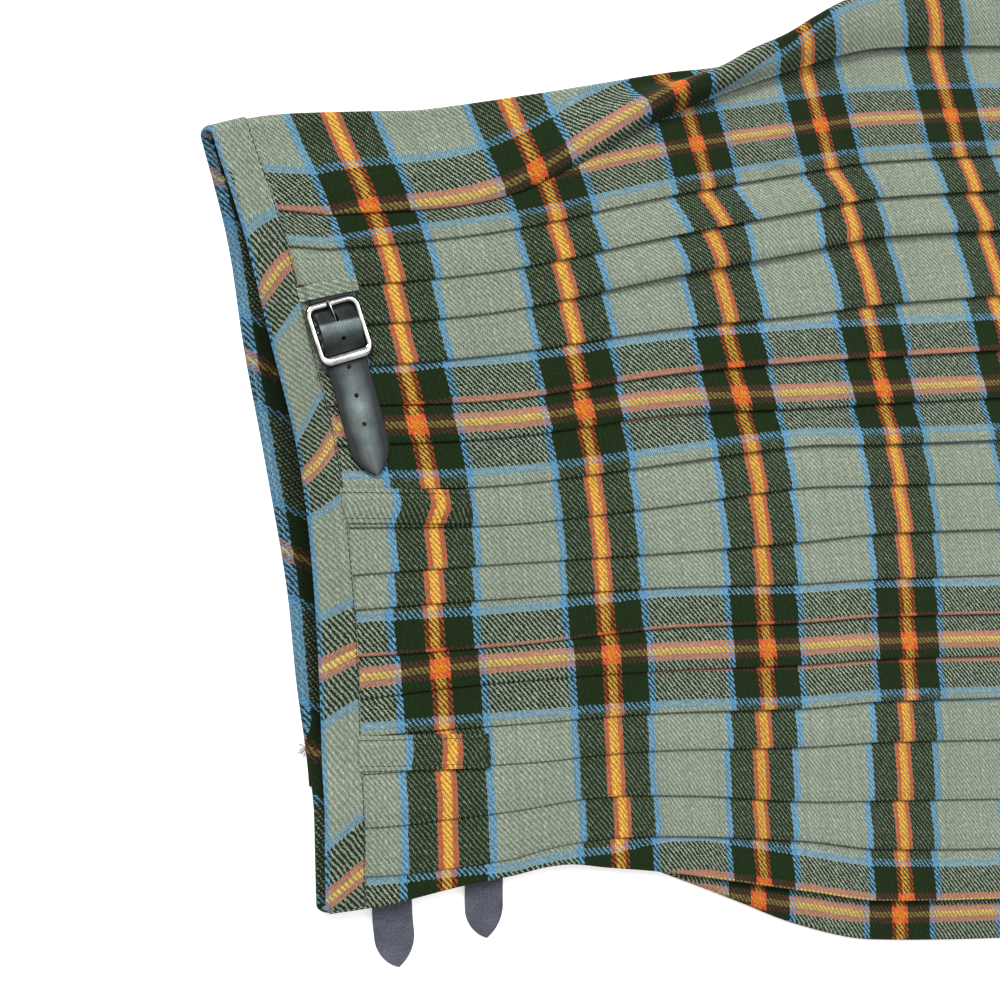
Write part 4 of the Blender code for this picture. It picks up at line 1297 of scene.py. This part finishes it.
def low_buckle(number, place, metal, leathers, wool):
    """A buckle under the -Y hip, face down, with the over apron's strap through it."""
    x, y, heading, tip = place
    station = x - seam_x(y)
    far, near = station + FRAME_WIDTH / 2, station - FRAME_WIDTH / 2
    face = chord(lambda at: height(UNDER_Z, at) + bulge(at, y), far) - CLOTH / 2 - GAP
    seat = Seat(x, y, face, heading, flipped=True)
    buckle(f"low_buckle_{number}", seat, metal, wool)
    root = face - (chord(lambda at: height(OVER_Z, at), near) + CLOTH / 2 + GAP + STRAP_THICK / 2)
    resting = face - STRAP_THICK / 2 - 0.3
    rises = ((20.0, 1.5), (34.0, resting * 0.75), (44.0, resting), (tip, resting))
    path = [(-46.0, root), (-34.0, root), (-27.0, root * 0.7), *THROUGH_BUCKLE, *pointed_end(tip, rises)]
    piece = strap(f"low_strap_{number}_leather", seat, path, strap_holes(0.0, 2), leathers)
    stand_in(piece, f"low_strap_{number}")


# ---- floor, light and camera
def floor_and_light():
    nodes = Nodes("floor_paper")
    paper = nodes.finish(
        Base_Color=nodes.ramp(nodes.noise(nodes.place(), 3.0), ((0.0, 0.86), (1.0, 0.89))),
        Roughness=0.9,
        Emission_Color=rgba(1.0),
        Emission_Strength=FLOOR_GLOW,
    )
    mesh = bpy.data.meshes.new("floor")
    corners = [(x * FLOOR_SIDE, y * FLOOR_SIDE, FLOOR_Z) for x, y in ((-1, -1), (1, -1), (1, 1), (-1, 1))]
    mesh.from_pydata(corners, [], [(0, 1, 2, 3)])
    mesh.materials.append(paper)
    link("floor", mesh)

    sun = bpy.data.lights.new("key", "SUN")
    sun.energy, sun.angle = SUN_STRENGTH, math.radians(SUN_WIDTH)
    panel = bpy.data.lights.new("panel", "AREA")
    panel.energy, panel.size = LAMP_POWER, LAMP_SIZE
    for light, place, towards in ((sun, (0, 0, 0), SUN_FROM), (panel, LAMP_AT, LAMP_AT)):
        turned = Vector(towards).to_track_quat("Z", "Y").to_matrix().to_4x4()
        link(light.name, light).matrix_world = Matrix.Translation(place) @ turned

    sky = Nodes("studio", "worlds")
    up = sky.add("SeparateXYZ", {0: sky.add("TexCoord")["Generated"]})["Z"]
    bpy.context.scene.world = sky.finish("Background", Color=sky.ramp(up, SKY))
    bpy.context.scene.view_settings.view_transform = "Standard"


def camera():
    """The photograph's view: 20 degrees off the vertical, towards the waist."""
    data = bpy.data.cameras.new("camera")
    data.sensor_width = SENSOR
    data.lens = SENSOR * FOCUS / 1000
    data.clip_start = 0.01
    obj = link("camera", data)
    place = Vector((-CENTRE[0] - DISTANCE * math.sin(TILT), -CENTRE[1], DISTANCE * math.cos(TILT))) * MM
    obj.matrix_world = Matrix.Translation(place) @ Matrix.Rotation(-TILT, 4, "Y")
    bpy.context.scene.camera = obj


# ---- the kilt
camera()
floor_and_light()
wool = tartan()
metal = chrome()
# The black leather's last colour is its painted highlight.
black = leather("black_leather", (0.015, 0.019, 0.020), 0.40, 900.0, 0.00008, (0.20, 0.25, 0.25))
suede = leather("flesh_side", (0.084, 0.089, 0.115), 0.95, 420.0, 0.00025)
dark_thread = yarn("dark_thread", (0.02, 0.03, 0.018))
brown_yarn = yarn("brown_yarn", (0.20, 0.12, 0.07))
pale_thread = yarn("pale_thread", (0.34, 0.36, 0.31))
threads = (dark_thread, pale_thread)

cloths = {
    "over_apron": over_apron(wool),
    "pleated_back": pleated_back(wool),
    "under_apron": under_apron(wool),
    "waistband": waistband(wool, threads),
}
for number, loop in enumerate(LOOPS, 1):
    cloths[f"belt_loop_{number}"] = belt_loop(f"belt_loop_{number}_cloth", *loop, wool, threads)
for node, piece in cloths.items():
    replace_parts(piece, node)
hip_buckle(metal, (black, suede), wool)
for number, place in enumerate(LOW_BUCKLES, 1):
    low_buckle(number, place, metal, (black, suede), wool)

for number, loose in enumerate(TUFTS, 1):
    tuft(f"loose_yarn_{number}", *loose, brown_yarn)
tuft("thread_knot", *KNOT, dark_thread)
